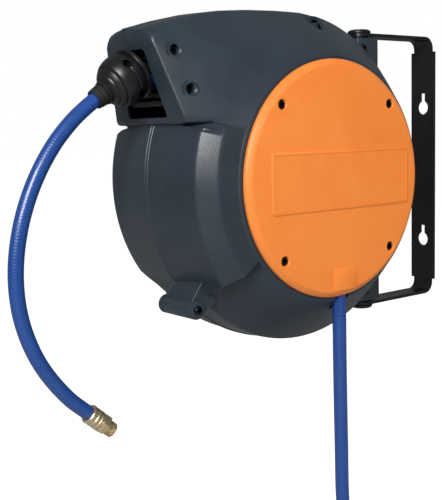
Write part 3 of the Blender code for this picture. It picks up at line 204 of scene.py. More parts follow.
def moulded_plastic(name, low, high, grain, depth, roughness, specular=0.5):
    """Injection-moulded plastic: a spark-eroded grain in mm, faint flow shading and uneven sheen."""
    material, tree, shader = new_material(name)
    where = add(tree, "ShaderNodeTexCoord").outputs["Object"]
    flow = add(tree, "ShaderNodeTexNoise", inputs={"Vector": where, "Scale": 1000 / 55, "Detail": 4.0,
            "Roughness": 0.6})
    speck = add(tree, "ShaderNodeTexNoise", inputs={"Vector": where, "Scale": 1000 / grain,
            "Detail": 3.0, "Roughness": 0.65})
    both = add(tree, "ShaderNodeMath", {"operation": "MULTIPLY_ADD"},
               {0: speck.outputs["Fac"], 1: 0.45, 2: flow.outputs["Fac"]})
    tone = add(tree, "ShaderNodeMapRange", inputs={"Value": both.outputs[0], "From Min": 0.45,
            "From Max": 1.0})
    finish(tree, shader, tone.outputs[0], (low, high), both.outputs[0], (0.45, 1.0),
           (roughness - 0.06, roughness + 0.08),
           speck.outputs["Fac"], (depth, 0.6))
    shader.inputs["Specular IOR Level"].default_value = specular
    return material


def painted_steel(name, low, high, peel, roughness):
    """Powder coat: orange-peel ripples in mm, with a little dust in cloudy patches that dulls it."""
    material, tree, shader = new_material(name)
    where = add(tree, "ShaderNodeTexCoord").outputs["Object"]
    ripple = add(tree, "ShaderNodeTexNoise", inputs={"Vector": where, "Scale": 1000 / peel, "Detail": 1.0})
    cloud = add(tree, "ShaderNodeTexNoise", inputs={"Vector": where, "Scale": 1000 / 30, "Detail": 5.0,
            "Roughness": 0.7})
    finish(tree, shader, cloud.outputs["Fac"], (low, high), cloud.outputs["Fac"], (0.3, 0.7),
           (roughness - 0.08, roughness + 0.12), ripple.outputs["Fac"], (0.08, 0.5))
    return material


def metal(name, low, high, roughness, lathe=0.0, blotch=8.0):
    """Bare or plated metal: blotches in mm, and lathe lines along the piece's own V when it is turned."""
    material, tree, shader = new_material(name)
    coords = add(tree, "ShaderNodeTexCoord")
    patch = add(tree, "ShaderNodeTexNoise", inputs={"Vector": coords.outputs["Object"],
            "Scale": 1000 / blotch, "Detail": 6.0, "Roughness": 0.7})
    height = patch.outputs["Fac"]
    if lathe:
        stretch = add(tree, "ShaderNodeMapping", inputs={"Vector": coords.outputs["UV"],
                "Scale": (0.4, 1000 / lathe, 1.0)})
        lines = add(tree, "ShaderNodeTexNoise", inputs={"Vector": stretch.outputs[0], "Scale": 1.0,
                "Detail": 3.0})
        height = lines.outputs["Fac"]
    finish(tree, shader, patch.outputs["Fac"], (low, high), patch.outputs["Fac"], (0.3, 0.7),
           (roughness - 0.07, roughness + 0.1), height, (0.06, 0.5))
    shader.inputs["Metallic"].default_value = 1.0
    return material


def braided_hose(name, dark, light, around, pitch):
    """Clear blue skin over a braid: two families of threads wind round it, and U is turns, V metres."""
    material, tree, shader = new_material(name)
    coords = add(tree, "ShaderNodeTexCoord")
    split = add(tree, "ShaderNodeSeparateXYZ", inputs={0: coords.outputs["UV"]})
    heights = []
    for hand in (1.0, -1.0):
        turn = add(tree, "ShaderNodeMath", {"operation": "MULTIPLY"},
                   {0: split.outputs[0], 1: hand * around * math.tau})
        phase = add(tree, "ShaderNodeMath", {"operation": "MULTIPLY_ADD"},
                    {0: split.outputs[1], 1: math.tau * 1000 / pitch, 2: turn.outputs[0]})
        wave = add(tree, "ShaderNodeMath", {"operation": "SINE"}, {0: phase.outputs[0]})
        heights.append(wave.outputs[0])
    top = add(tree, "ShaderNodeMath", {"operation": "MAXIMUM"}, {0: heights[0], 1: heights[1]})
    threads = add(tree, "ShaderNodeMapRange", inputs={"Value": top.outputs[0], "From Min": -0.6,
            "From Max": 1.0})
    cloud = add(tree, "ShaderNodeTexNoise", inputs={"Vector": coords.outputs["Object"],
            "Scale": 1000 / 14, "Detail": 3.0})
    mixed = add(tree, "ShaderNodeMath", {"operation": "MULTIPLY_ADD"},
                {0: cloud.outputs["Fac"], 1: 0.35, 2: threads.outputs[0]})
    tone = add(tree, "ShaderNodeMapRange", inputs={"Value": mixed.outputs[0], "From Min": -0.2,
            "From Max": 1.6})
    finish(tree, shader, tone.outputs[0], (dark, light), cloud.outputs["Fac"], (0.3, 0.7), (0.30, 0.44),
           threads.outputs[0], (0.11, 0.5))
    shader.inputs["Coat Weight"].default_value = 0.5
    shader.inputs["Coat Roughness"].default_value = 0.18
    return material


# Polypropylene, fine spark-eroded grain: dull slate grey, soft highlights. Drawn at 1.1 mm to show.
CASE = moulded_plastic("polypropylene_slate_textured", "#232C34", "#2C363F", 1.1, 0.16, 0.36, 0.46)
# ABS with a satin mould finish: warm orange, wide soft highlight.
ORANGE = moulded_plastic("abs_orange_satin", "#E37B2E", "#EA883C", 0.8, 0.07, 0.40)
# Glass-filled nylon: near-black with a satin sheen.
NYLON_BLACK = moulded_plastic("nylon_black_moulded", "#0B0C0E", "#131518", 0.9, 0.08, 0.36)
# Unfilled nylon: milky white, waxy.
NYLON_WHITE = moulded_plastic("nylon_natural", "#CFCBC0", "#DEDACF", 1.2, 0.05, 0.45)
# Nitrile rubber: dead black and rough.
RUBBER = moulded_plastic("nitrile_rubber", "#121314", "#1D1E20", 0.7, 0.12, 0.68, 0.35)
# Powder-coated sheet steel: black with orange peel.
POWDER = painted_steel("powder_coat_black", "#090B0D", "#121518", 1.6, 0.38)
# Black-oxide screws: dark grey, oily.
OXIDE = metal("black_oxide_steel", "#1C1D20", "#33353A", 0.42, blotch=2.0)
# Zinc plate: pale, slightly blotched.
ZINC = metal("zinc_plated_steel", "#A3A8AD", "#C3C7CB", 0.34, lathe=0.5)
# Spring strip: blue-grey, oiled.
STRIP = metal("spring_strip_steel", "#5C6065", "#7B7F85", 0.28, blotch=5.0)
# Free-machining brass: yellow, fine lathe lines.
BRASS = metal("brass_machined", "#DCC596", "#F8EACB", 0.36, lathe=0.45, blotch=5.0)
# Polyurethane hose over polyester braid: drawn with a 3 mm pitch so that it shows.
HOSE = braided_hose("polyurethane_hose_blue", "#092A6B", "#164A93", 6.0, 2.4)

FINISHES = {"case_plastic": CASE, "cover_plastic": ORANGE, "black_plastic": NYLON_BLACK,
            "black_painted_steel": POWDER,
            "zinc_steel": ZINC, "spring_steel": STRIP, "brass": BRASS, "blue_hose": HOSE,
                "white_nylon": NYLON_WHITE,
            "rubber": RUBBER}


# ---------------------------------------------------------------- building blocks

def piece(name, bm, finish, body, replaced=(), smooth=35.0, merge=0.001, recalc=True):
    """A bmesh in millimetres from the drum's axis becomes a shown piece in the row frame."""
    if merge:
        bmesh.ops.remove_doubles(bm, verts=bm.verts, dist=merge)
    if recalc:
        bmesh.ops.recalc_face_normals(bm, faces=bm.faces)
    bm.transform(PLACE)
    mesh = bpy.data.meshes.new(name)
    bm.to_mesh(mesh)
    bm.free()
    obj = bpy.data.objects.new(name, mesh)
    bpy.context.scene.collection.objects.link(obj)
    mesh.materials.append(finish)
    soften_shading(mesh, smooth)
    if body:
        own(obj, body, replaced)
    return obj


def soften_shading(mesh, angle):
    mesh.shade_smooth()
    mesh.set_sharp_from_angle(angle=math.radians(angle))


def own(obj, body, replaced):
    """Rides a piece on its body and hides what it replaces."""
    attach(obj, body)
    for node in replaced:
        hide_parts(node)


SLOTS = {s["node"]: s["material_slot"] for s in frame["record"]["subparts"]}


def carve(obj, joined=(), removed=(), smooth=35.0):
    """Joins and removes other bodies, then makes the result this piece's own mesh."""
    for operation, others in (("UNION", joined), ("DIFFERENCE", removed)):
        for other in others:
            step = obj.modifiers.new(other.name, "BOOLEAN")
            step.operation = operation
            step.solver = "EXACT"
            step.object = other
    seen = bpy.context.evaluated_depsgraph_get()
    seen.update()
    made = bpy.data.meshes.new_from_object(obj.evaluated_get(seen), depsgraph=seen)
    obj.modifiers.clear()
    obj.data = made
    while len(made.materials) > 1:
        made.materials.pop()
    for face in made.polygons:
        face.material_index = 0
    soften_shading(made, smooth)
    for other in (*joined, *removed):
        bpy.data.objects.remove(other, do_unlink=True)


def tool(name, bm):
    """A body only used to join to or cut from another."""
    return piece(name, bm, CASE, None, merge=0)


def turned_to(middle, axis):
    """Matrix that stands a shape made along +Z at a middle, along an axis."""
    return Matrix.Translation(Vector(middle)) @ Vector((0, 0,
            1)).rotation_difference(Vector(axis)).to_matrix().to_4x4()


def rod(radius, length, middle, axis, sides=32, edge=0.0):
    bm = bmesh.new()
    bmesh.ops.create_cone(bm, cap_ends=True, segments=sides, radius1=radius, radius2=radius, depth=length)
    if edge:
        rims = [e for e in bm.edges if e.is_manifold and e.calc_face_angle() > 1.0]
        round_edges(bm, rims, edge, 2)
    bm.transform(turned_to(middle, axis))
    return bm


def block(low, high, edge=0.0, segments=3):
    bm = bmesh.new()
    bmesh.ops.create_cube(bm, size=1.0)
    bmesh.ops.scale(bm, vec=[b - a for a, b in zip(low, high)], verts=bm.verts)
    bmesh.ops.translate(bm, vec=[(a + b) / 2 for a, b in zip(low, high)], verts=bm.verts)
    if edge:
        round_edges(bm, list(bm.edges), edge, segments)
    return bm


def round_edges(bm, edges, width, segments):
    bmesh.ops.bevel(bm, geom=edges, offset=width, offset_type="OFFSET", segments=segments, profile=0.5,
                    affect="EDGES", material=-1, clamp_overlap=True)


def wrapped(points, edge=0.0):
    """The convex body round some points, its edges rounded."""
    bm = bmesh.new()
    for point in points:
        bm.verts.new(point)
    made = bmesh.ops.convex_hull(bm, input=bm.verts)
    spare = {g for g in made["geom_interior"] + made["geom_unused"] if isinstance(g, bmesh.types.BMVert)}
    bmesh.ops.delete(bm, geom=list(spare), context="VERTS")
    bmesh.ops.dissolve_limit(bm, angle_limit=0.01, verts=bm.verts, edges=bm.edges)
    if edge:
        round_edges(bm, list(bm.edges), edge, 3)
    return bm


def eased(profile, width, segments=3):
    """A profile with its corners rounded; each point is (radius, along) or (radius, along, own width)."""
    out = []
    count = len(profile)
    closed = profile[0][0] > 0
    for i, point in enumerate(profile):
        size = point[2] if len(point) > 2 else width
        if size == 0 or (not closed and i in (0, count - 1)):
            out.append(point[:2])
            continue
        here = Vector(point[:2])
        before = Vector(profile[i - 1][:2]) - here
        after = Vector(profile[(i + 1) % count][:2]) - here
        first = here + before.normalized() * min(size, before.length * 0.45)
        last = here + after.normalized() * min(size, after.length * 0.45)
        for k in range(segments + 1):
            t = k / segments
            out.append(tuple(first.lerp(here, t).lerp(here.lerp(last, t), t)))
    return out


def spun(profile, middle, axis, steps=64):
    """A profile of (radius, along) spun about an axis, with U in turns and V in metres along it."""
    bm = bmesh.new()
    verts = [bm.verts.new((r, 0, a)) for r, a in profile]
    edges = [bm.edges.new(pair) for pair in zip(verts, verts[1:])]
    if profile[0][0] > 0:
        edges.append(bm.edges.new((verts[-1], verts[0])))
    bmesh.ops.spin(bm, geom=verts + edges, cent=(0, 0, 0), axis=(0, 0, 1), angle=math.tau, steps=steps,
                   use_merge=True)
    bmesh.ops.remove_doubles(bm, verts=bm.verts, dist=0.0005)
    bmesh.ops.dissolve_degenerate(bm, edges=bm.edges, dist=0.0005)
    layer = bm.loops.layers.uv.new("UVMap")
    for face in bm.faces:
        centre = face.calc_center_median()
        home = math.atan2(centre.y, centre.x)
        for loop in face.loops:
            angle = math.atan2(loop.vert.co.y, loop.vert.co.x)
            angle += math.tau * round((home - angle) / math.tau)
            reach = math.hypot(loop.vert.co.x, loop.vert.co.y) + loop.vert.co.z
            loop[layer].uv = (angle / math.tau, reach * MM)
    bm.transform(turned_to(middle, axis))
    return bm


def merged(*meshes):
    """Several bmeshes as one."""
    whole = meshes[0]
    for other in meshes[1:]:
        spare = bpy.data.meshes.new("spare")
        other.to_mesh(spare)
        other.free()
        whole.from_mesh(spare)
        bpy.data.meshes.remove(spare)
    return whole


def on_curve(chosen, spacing):
    """Points every so often along one smooth curve through chosen points."""
    knots = [Vector(p) for p in chosen]
    padded = [2 * knots[0] - knots[1], *knots, 2 * knots[-1] - knots[-2]]
    fine = []
    for p0, p1, p2, p3 in zip(padded, padded[1:], padded[2:], padded[3:]):
        for step in range(12):
            t = step / 12
            fine.append(0.5 * (2 * p1 + (p2 - p0) * t + (2 * p0 - 5 * p1 + 4 * p2 - p3) * t * t
                               + (3 * p1 - p0 - 3 * p2 + p3) * t ** 3))
    fine.append(knots[-1])
    lengths = [0.0]
    for a, b in zip(fine, fine[1:]):
        lengths.append(lengths[-1] + (b - a).length)
    count = round(lengths[-1] / spacing)
    route = []
    at = 0
    for i in range(count + 1):
        want = lengths[-1] * i / count
        while at < len(fine) - 2 and lengths[at + 1] < want:
            at += 1
        share = (want - lengths[at]) / max(lengths[at + 1] - lengths[at], 1e-9)
        route.append(fine[at].lerp(fine[at + 1], min(share, 1.0)))
    return route


def hose_mesh(route, radius, sides=24):
    """A round hose along a route, with U in turns round it and V in metres along it."""
    bm = bmesh.new()
    turn_of = bm.verts.layers.float.new("turn")
    along_of = bm.verts.layers.float.new("along")
    heading = (route[1] - route[0]).normalized()
    side = heading.orthogonal().normalized()
    length = 0.0
    rings = []
    for i, where in enumerate(route):
        ahead = (route[min(i + 1, len(route) - 1)] - route[max(i - 1, 0)]).normalized()
        side = (heading.rotation_difference(ahead) @ side).normalized()
        heading = ahead
        if i:
            length += (where - route[i - 1]).length
        up = heading.cross(side)
        basis = Matrix((side, up, heading)).transposed().to_4x4()
        made = bmesh.ops.create_circle(bm, segments=sides, radius=radius,
                                       matrix=Matrix.Translation(where) @ basis)
        for k, vert in enumerate(made["verts"]):
            vert[turn_of] = k / sides
            vert[along_of] = length * MM
        rings.append(made["verts"])
    for first, last in zip(rings, rings[1:]):
        loops = {e for ring in (first, last) for v in ring for e in v.link_edges if e.other_vert(v) in ring}
        bmesh.ops.bridge_loops(bm, edges=list(loops))
    for ring in (rings[0], rings[-1]):
        bmesh.ops.contextual_create(bm, geom=list(ring))
    layer = bm.loops.layers.uv.new("UVMap")
    for face in bm.faces:
        values = [loop.vert[turn_of] for loop in face.loops]
        wraps = max(values) - min(values) > 0.5 and len(face.loops) == 4
        for loop, value in zip(face.loops, values):
            loop[layer].uv = (value + 1.0 if wraps and value < 0.5 else value, loop.vert[along_of])
    return bm


# ---------------------------------------------------------------- camera, light and floor

def make_camera():
    """Left of the cover, a little above the drum's axis, level to within two degrees."""
    around, down, roll = (math.radians(a) for a in (-37.72, 7.57, -1.64))
    back = Vector((math.sin(around) * math.cos(down), -math.cos(around) * math.cos(down), math.sin(down)))
    right = Vector((math.cos(around), math.sin(around), 0))
    up = back.cross(right)
    turned_right = right * math.cos(roll) + up * math.sin(roll)
    turned_up = up * math.cos(roll) - right * math.sin(roll)
    data = bpy.data.cameras.new("camera")
    data.lens = 64.8
    data.sensor_width = 36.0
    camera = bpy.data.objects.new("camera", data)
    bpy.context.scene.collection.objects.link(camera)
    where = PLACE @ Vector((-541.9, -615.1, 43.7))
    camera.matrix_world = Matrix.Translation(where) @ Matrix((turned_right, turned_up,
            back)).transposed().to_4x4()
    bpy.context.scene.camera = camera


def make_light(name, where, power, size, shiny=True):
    data = bpy.data.lights.new(name, "AREA")
    data.energy = power
    data.size = size
    light = bpy.data.objects.new(name, data)
    bpy.context.scene.collection.objects.link(light)
    light.visible_glossy = shiny
    spot = Vector(where)
    aim = Vector((-0.22, 0.0, -0.02)) - spot
    light.matrix_world = Matrix.Translation(spot) @ aim.to_track_quat("-Z", "Y").to_matrix().to_4x4()


def make_stage():
    """White surroundings that light the object softly, and a pale floor below it."""
    world = bpy.data.worlds.new("studio")
    bpy.context.scene.world = world
    world.use_nodes = True
    tree = world.node_tree
    seen = add(tree, "ShaderNodeLightPath").outputs["Is Camera Ray"]
    strength = add(tree, "ShaderNodeMapRange", inputs={"Value": seen, "To Min": AMBIENT, "To Max": 1.0})
    sky = tree.nodes["Background"]
    sky.inputs["Color"].default_value = linear("#FFFFFF")
    tree.links.new(strength.outputs[0], sky.inputs["Strength"])
    material, tree, shader = new_material("studio_floor_matt")
    where = add(tree, "ShaderNodeTexCoord").outputs["Object"]
    cloud = add(tree, "ShaderNodeTexNoise", inputs={"Vector": where, "Scale": 3.0, "Detail": 3.0})
    colour = add(tree, "ShaderNodeMix", {"data_type": "RGBA"},
                 {0: cloud.outputs["Fac"], 6: linear("#A2A2A2"), 7: linear("#AAAAAA")})
    tree.links.new(colour.outputs[2], shader.inputs["Base Color"])
    shader.inputs["Roughness"].default_value = 0.9
    shader.inputs["Emission Color"].default_value = linear("#FFFFFF")
    seen = add(tree, "ShaderNodeLightPath").outputs["Is Camera Ray"]
    glow = add(tree, "ShaderNodeMath", {"operation": "MULTIPLY"}, {0: seen, 1: 1.05 - 0.6 * AMBIENT})
    tree.links.new(glow.outputs[0], shader.inputs["Emission Strength"])
    bm = bmesh.new()
    bmesh.ops.create_grid(bm, x_segments=1, y_segments=1, size=20000.0)
    bmesh.ops.translate(bm, vec=(0, 0, -480.0), verts=bm.verts)
    floor = piece("studio_floor", bm, material, None, recalc=False)


AMBIENT = 0.2
bpy.context.scene.view_settings.view_transform = "Standard"
make_camera()
make_stage()
make_light("key", (-1.75, -1.05, 0.9), 46, 0.8)
make_light("fill", (0.3, -2.1, 0.8), 20, 1.2, shiny=False)
make_light("back", (-0.6, 2.1, 0.8), 12, 1.2, shiny=False)


# ---------------------------------------------------------------- hoses and what is on them

def along_ball(distance):
    return BALL + BALL_AXIS * distance


def make_fitting(name, body, end, axis):
    """Crimped ferrule, and a hexagon with a helical thread and an open bore."""
    start = end + axis * GAP
    profile = [(0, 0), (7.2, 0), (8.0, 0.9), (8.0, 3.2), (7.3, 4.2), (7.3, 5.0), (8.0, 5.6), (8.0, 7.6),
               (7.3, 8.3),
               (7.3, 9.1), (8.0, 9.9), (8.0, FERRULE_LENGTH - 1.0), (7.2, FERRULE_LENGTH),
                   (0, FERRULE_LENGTH)]
    piece(f"{name}_crimped_ferrule", spun(eased(profile, 0.25, 2), start, axis, 48), BRASS, body,
          [f"{name}_ferrule"])
    base = start + axis * (FERRULE_LENGTH + GAP)
    nut = bmesh.new()
    bmesh.ops.create_cone(nut, cap_ends=True, segments=6, radius1=8.66, radius2=8.66, depth=HEX_LENGTH)
    bmesh.ops.translate(nut, vec=(0, 0, HEX_LENGTH / 2), verts=nut.verts)
    round_edges(nut, list(nut.edges), 0.55, 2)
    nut.transform(turned_to(base, axis))
    top = HEX_LENGTH + THREAD_LENGTH
    core = [(3.6, HEX_LENGTH - 3.0), (5.4, HEX_LENGTH - 3.0), (5.4, top - 0.5), (4.9, top), (3.8, top),
            (3.6, top - 0.3)]
    barrel = spun(core, base, axis, 40)
    ridge = bmesh.new()
    pitch = 1.34
    verts = [ridge.verts.new((r, 0, HEX_LENGTH + 1.1 + a)) for r,
             a in ((5.2, 0.0), (6.3, 0.5), (6.3, 0.68), (5.2, 1.18))]
    edges = [ridge.edges.new(pair) for pair in zip(verts, verts[1:] + verts[:1])]
    turns = 5
    steps = 30 * turns
    bmesh.ops.spin(ridge, geom=verts + edges, cent=(0, 0, 0), axis=(0, 0, 1),
                   dvec=(0, 0, pitch * turns / steps),
                   angle=math.tau * turns, steps=steps)
    bmesh.ops.holes_fill(ridge, edges=[e for e in ridge.edges if e.is_boundary], sides=4)
    bmesh.ops.recalc_face_normals(ridge, faces=ridge.faces)
    ridge.transform(turned_to(base, axis))
    piece(f"{name}_threaded_nipple", merged(nut, barrel, ridge), BRASS, body, [f"{name}_nipple"],
          smooth=28, merge=0)


def make_outlet():
    first = BALL_FRONT + GAP
    profile = [(HOSE_RADIUS + GAP, 0), (COLLAR_RADIUS, 0), (COLLAR_RADIUS, 3.0), (7.9, 3.5), (7.9, 4.3),
               (8.4, 4.8),
               (8.2, 6.0), (7.7, 6.5), (7.7, 7.2), (8.0, 7.7), (7.6, COLLAR_LENGTH),
                   (HOSE_RADIUS + GAP, COLLAR_LENGTH)]
    piece("hose_grip_collar", spun(eased(profile, 0.3, 2), along_ball(first), BALL_AXIS, 48), RUBBER,
          "hose_end", ["hose_collar"])
    start = along_ball(first + COLLAR_LENGTH - 2.0)
    route = on_curve([start] + [(x, 0, z) for x, z in OUTLET_ROUTE], 3.0)
    hose = piece("outlet_hose_braided", hose_mesh(route, HOSE_RADIUS), HOSE, "hose_end",
                 ["outlet_hose"], smooth=60)
    end = route[-1]
    axis = (route[-1] - route[-2]).normalized()
    make_fitting("outlet", "hose_end", end, axis)
    inner = [along_ball(first + COLLAR_LENGTH - 3.5), along_ball(16.0), along_ball(4.0),
             (BALL.x + 10, 0, HOSE_AXIS_Z + 0.5),
             (BALL.x + 24, 0, HOSE_AXIS_Z), (-110, 0, HOSE_AXIS_Z), (-60, 0, HOSE_AXIS_Z),
                 (-8, 0, HOSE_AXIS_Z)]
    piece("hose_through_guide", hose_mesh(on_curve(inner, 3.0), HOSE_RADIUS - GAP), HOSE, "hose_end",
          ["hose_lead"], smooth=60)


def inlet_route():
    """Straight down from the case, two turns side by side, and a tail beside them."""
    x, y = INLET.x, INLET.y
    centre_z = INLET.z - 268.6
    knots = [(x, y, INLET.z - 0.3), (x, y, -160), (x + 0.3, y, -200), (x + 0.8, y, -240), (x + 1.3, y, -280),
             (x + 1.2, y - 3.0, -315), (x + 1.0, y - 6.0, -350)]
    for i in range(2 * 24 + 1):
        angle = math.pi + math.tau * i / 24
        share = min(max((i - 14) / 6, 0.0), 1.0)
        shift = -6.0 + 12.0 * share * share * (3 - 2 * share)
        share = min(max((i - 40) / 8, 0.0), 1.0)
        shift += 12.0 * share * share * (3 - 2 * share)
        knots.append((x + 1.0 + COIL_RADIUS + COIL_RADIUS * math.cos(angle), y + shift,
                      centre_z + COIL_RADIUS * math.sin(angle)))
    end = centre_z - COIL_TAIL
    knots += [(x + 1.0, y + 18.0, centre_z - 16), (x + 1.0, y + 18.0, centre_z - 32),
              (x + 1.0, y + 18.0, end)]
    return on_curve(knots, 3.0)


def make_inlet():
    route = inlet_route()
    hose = piece("supply_hose_braided", hose_mesh(route, HOSE_RADIUS, 20), HOSE, "case",
                 ["inlet_hose", "inlet_hose_coil"], smooth=60)
    make_fitting("inlet", "case", route[-1], Vector((0, 0, -1)))
    x, z = INLET.x + 1.0 + 2 * COIL_RADIUS, INLET.z - 268.6
    strap = block((x - 8.4, INLET.y - 14.4, z - 4), (x + 8.4, INLET.y + 14.4, z + 4), 0.8)
    strap = piece("coil_strap", strap, RUBBER, "case", ["coil_tie"])
    carve(strap, removed=[tool("strap_room", block((x - 6.9, INLET.y - 12.9, z - 9),
            (x + 6.9, INLET.y + 12.9, z + 9), 2.0))])


make_outlet()
make_inlet()


# ---------------------------------------------------------------- case halves

ROUND_STATIONS = 72
CROWN_STATIONS = 16
TOP_STATIONS = 30
FRONT_STATIONS = 18
FOOT_STATIONS = 6
BAND_STATIONS = 36
ARC = 5                        # points round each eased edge


def nose_front_x(z, inset=0.0):
    return -(NOSE_FOOT_X + NOSE_LEAN * (z - NOSE_BOTTOM)) + inset


def on_circle(radius, y, angle):
    turn = math.radians(angle)
    return Vector((radius * math.cos(turn), y, radius * math.sin(turn)))


def spread(first, last, count):
    return [first + (last - first) * i / count for i in range(count)]


def along_line(points, count):
    """Evenly spaced points on a line through points, without its end."""
    lengths = [0.0]
    for p, q in zip(points, points[1:]):
        lengths.append(lengths[-1] + (Vector(q) - Vector(p)).length)
    out = []
    for want in spread(0.0, lengths[-1], count):
        at = max(i for i in range(len(points) - 1) if lengths[i] <= want + 1e-9)
        share = (want - lengths[at]) / (lengths[at + 1] - lengths[at])
        out.append(Vector(points[at]).lerp(Vector(points[at + 1]), share))
    return out


def round_angles():
    return spread(BAND_END_ANGLE + BAND_STEP_ANGLE, 360.0 + CROWN_START, ROUND_STATIONS)


def band_angles():
    return spread(BAND_ANGLE, BAND_END_ANGLE, BAND_STATIONS) + [BAND_END_ANGLE]


def cone_angles():
    return (round_angles() + spread(CROWN_START, 90.0, CROWN_STATIONS) + spread(90.0, NOSE_END_ANGLE,
            TOP_STATIONS)
            + spread(NOSE_END_ANGLE, FOOT_ANGLE, FRONT_STATIONS) + spread(FOOT_ANGLE, BAND_ANGLE,
                    FOOT_STATIONS)
            + band_angles())


def outline_row(y_rim, y_crown, y_nose, drop, nose_drop, foot_y, inset):
    """One line round the case: rim, crown, nose front, underside, down to the band."""
    rim = RIM_RADIUS - drop - inset
    crown = CROWN_RADIUS + 1.0 - nose_drop * 0.15 - inset
    high = NOSE_TOP - nose_drop - inset
    low = NOSE_BOTTOM + inset
    row = [on_circle(rim, y_rim, a) for a in round_angles()]
    row += [on_circle(crown, y_crown, a) for a in spread(CROWN_START, 90.0, CROWN_STATIONS)]
    top = Vector((nose_front_x(high, inset), y_nose, high))
    line = [(x, y_crown, crown - fall) for x, fall in TOP_LINE[:-1]]
    x, fall = TOP_LINE[-1]
    row += along_line([*line, (x, y_nose, crown - fall), top], TOP_STATIONS)
    foot = Vector((nose_front_x(low, inset), foot_y, low))
    row += along_line([top, foot], FRONT_STATIONS)
    band = on_circle(BAND_RADIUS - inset - BAND_DRAFT * y_rim, y_rim, BAND_ANGLE)
    row += along_line([foot, foot.lerp(band, 0.6) + Vector((0, 0, 0.8)), band], FOOT_STATIONS)
    return row


def case_rows(inset):
    """Lines round one half, from the parting plane to the cone's edge; y is positive here."""
    wide = RIM_HALF_WIDTH - 0.4 * inset
    half = wide / 2
    rows = []
    levels = ((0.0, 0.0, 0.0, 0.0, 0.0, 0.0),
              (half, half * 1.5, NOSE_TOP_HALF_WIDTH - NOSE_SHOULDER, RIM_DRAFT * half, 2.0,
               NOSE_FOOT_HALF_WIDTH * 0.7),
              (wide, wide, NOSE_TOP_HALF_WIDTH, RIM_DRAFT * wide, NOSE_SHOULDER, NOSE_FOOT_HALF_WIDTH))
    for (y_rim, y_crown, y_nose, drop, nose_drop, foot_y), band_y in zip(levels, (0.0, BAND_Y / 2, BAND_Y)):
        shrink = inset if y_nose else 0.0
        row = outline_row(y_rim, y_crown, max(y_nose - shrink, 0.0), drop, nose_drop,
                          max(foot_y - shrink, 0.0), inset)
        at = max(band_y - 0.5 * inset, 0.0) if band_y else 0.0
        row += [on_circle(BAND_RADIUS - BAND_DRAFT * band_y - inset, at, a) for a in band_angles()]
        rows.append(row)
    edge = [on_circle(CONE_RADIUS - 0.6 * inset, CONE_Y - 1.1 * inset, a) for a in cone_angles()]
    middle = []
    for i, (outer, inner) in enumerate(zip(rows[-1], edge)):
        strip = on_circle(BAND_INNER_RADIUS - 0.5 * inset, BAND_INNER_Y - inset, cone_angles()[i])
        share = min(max((i - len(edge) + BAND_STATIONS + 1 + FOOT_STATIONS) / FOOT_STATIONS, 0.0), 1.0)
        share *= share * (3.0 - 2.0 * share)
        middle.append(outer.lerp(inner, 0.45).lerp(strip, share))
    return [*rows, middle, edge]


def eased_line(points, sizes):
    """The line through some points with its inner corners rounded."""
    out = [points[0]]
    for before, corner, after, size in zip(points, points[1:], points[2:], sizes):
        first = corner + (before - corner).normalized() * min(size, (before - corner).length * 0.45)
        last = corner + (after - corner).normalized() * min(size, (after - corner).length * 0.45)
        for k in range(ARC + 1):
            t = k / ARC
            out.append(first.lerp(corner, t).lerp(corner.lerp(last, t), t))
    out.append(points[-1])
    return out


def eased_rows(rows):
    """Rows with rounded edges both ways: across the case, and round it at the nose and the band's end."""
    columns = [eased_line([row[i] for row in rows], (5.0, 2.5, 2.0)) for i in range(len(rows[0]))]
    fine = [[column[k] for column in columns] for k in range(len(columns[0]))]
    count = len(fine[0])
    top = ROUND_STATIONS + CROWN_STATIONS + TOP_STATIONS
    corners = (top, top + FRONT_STATIONS, top + FRONT_STATIONS + FOOT_STATIONS, count - 1)
    near = sorted({(corner + step) % count for corner in corners for step in range(-1, 2)})
    for row in fine[:-1]:
        moved = {i: (row[i - 1] + row[i] * 2 + row[(i + 1) % count]) / 4 for i in near}
        for i, where in moved.items():
            row[i] = where
    return fine


def circle_row(radius, y):
    return [on_circle(radius, y, a) for a in cone_angles()]


def ring_body(rows, side):
    """A closed shell through successive lines, each joined to the next and the last to the first."""
    bm = bmesh.new()
    loops = []
    for row in rows:
        verts = [bm.verts.new((p.x, side * p.y, p.z)) for p in row]
        loops.append([bm.edges.new((verts[i - 1], verts[i])) for i in range(len(verts))])
    for first, last in zip(loops, loops[1:] + loops[:1]):
        bmesh.ops.bridge_loops(bm, edges=first + last)
    bmesh.ops.recalc_face_normals(bm, faces=bm.faces)
    return bm


def nose_side_y(x, z):
    """How far the nose's flat side stands from the parting plane at a place on it."""
    low = NOSE_BOTTOM
    high = NOSE_TOP - NOSE_SHOULDER
    a = Vector((nose_front_x(high), NOSE_TOP_HALF_WIDTH, high))
    b = Vector((nose_front_x(low), NOSE_FOOT_HALF_WIDTH, low))
    c = on_circle(CONE_RADIUS, CONE_Y, 143.0)
    normal = (b - a).cross(c - a)
    return a.y - (normal.x * (x - a.x) + normal.z * (z - a.z)) / normal.y


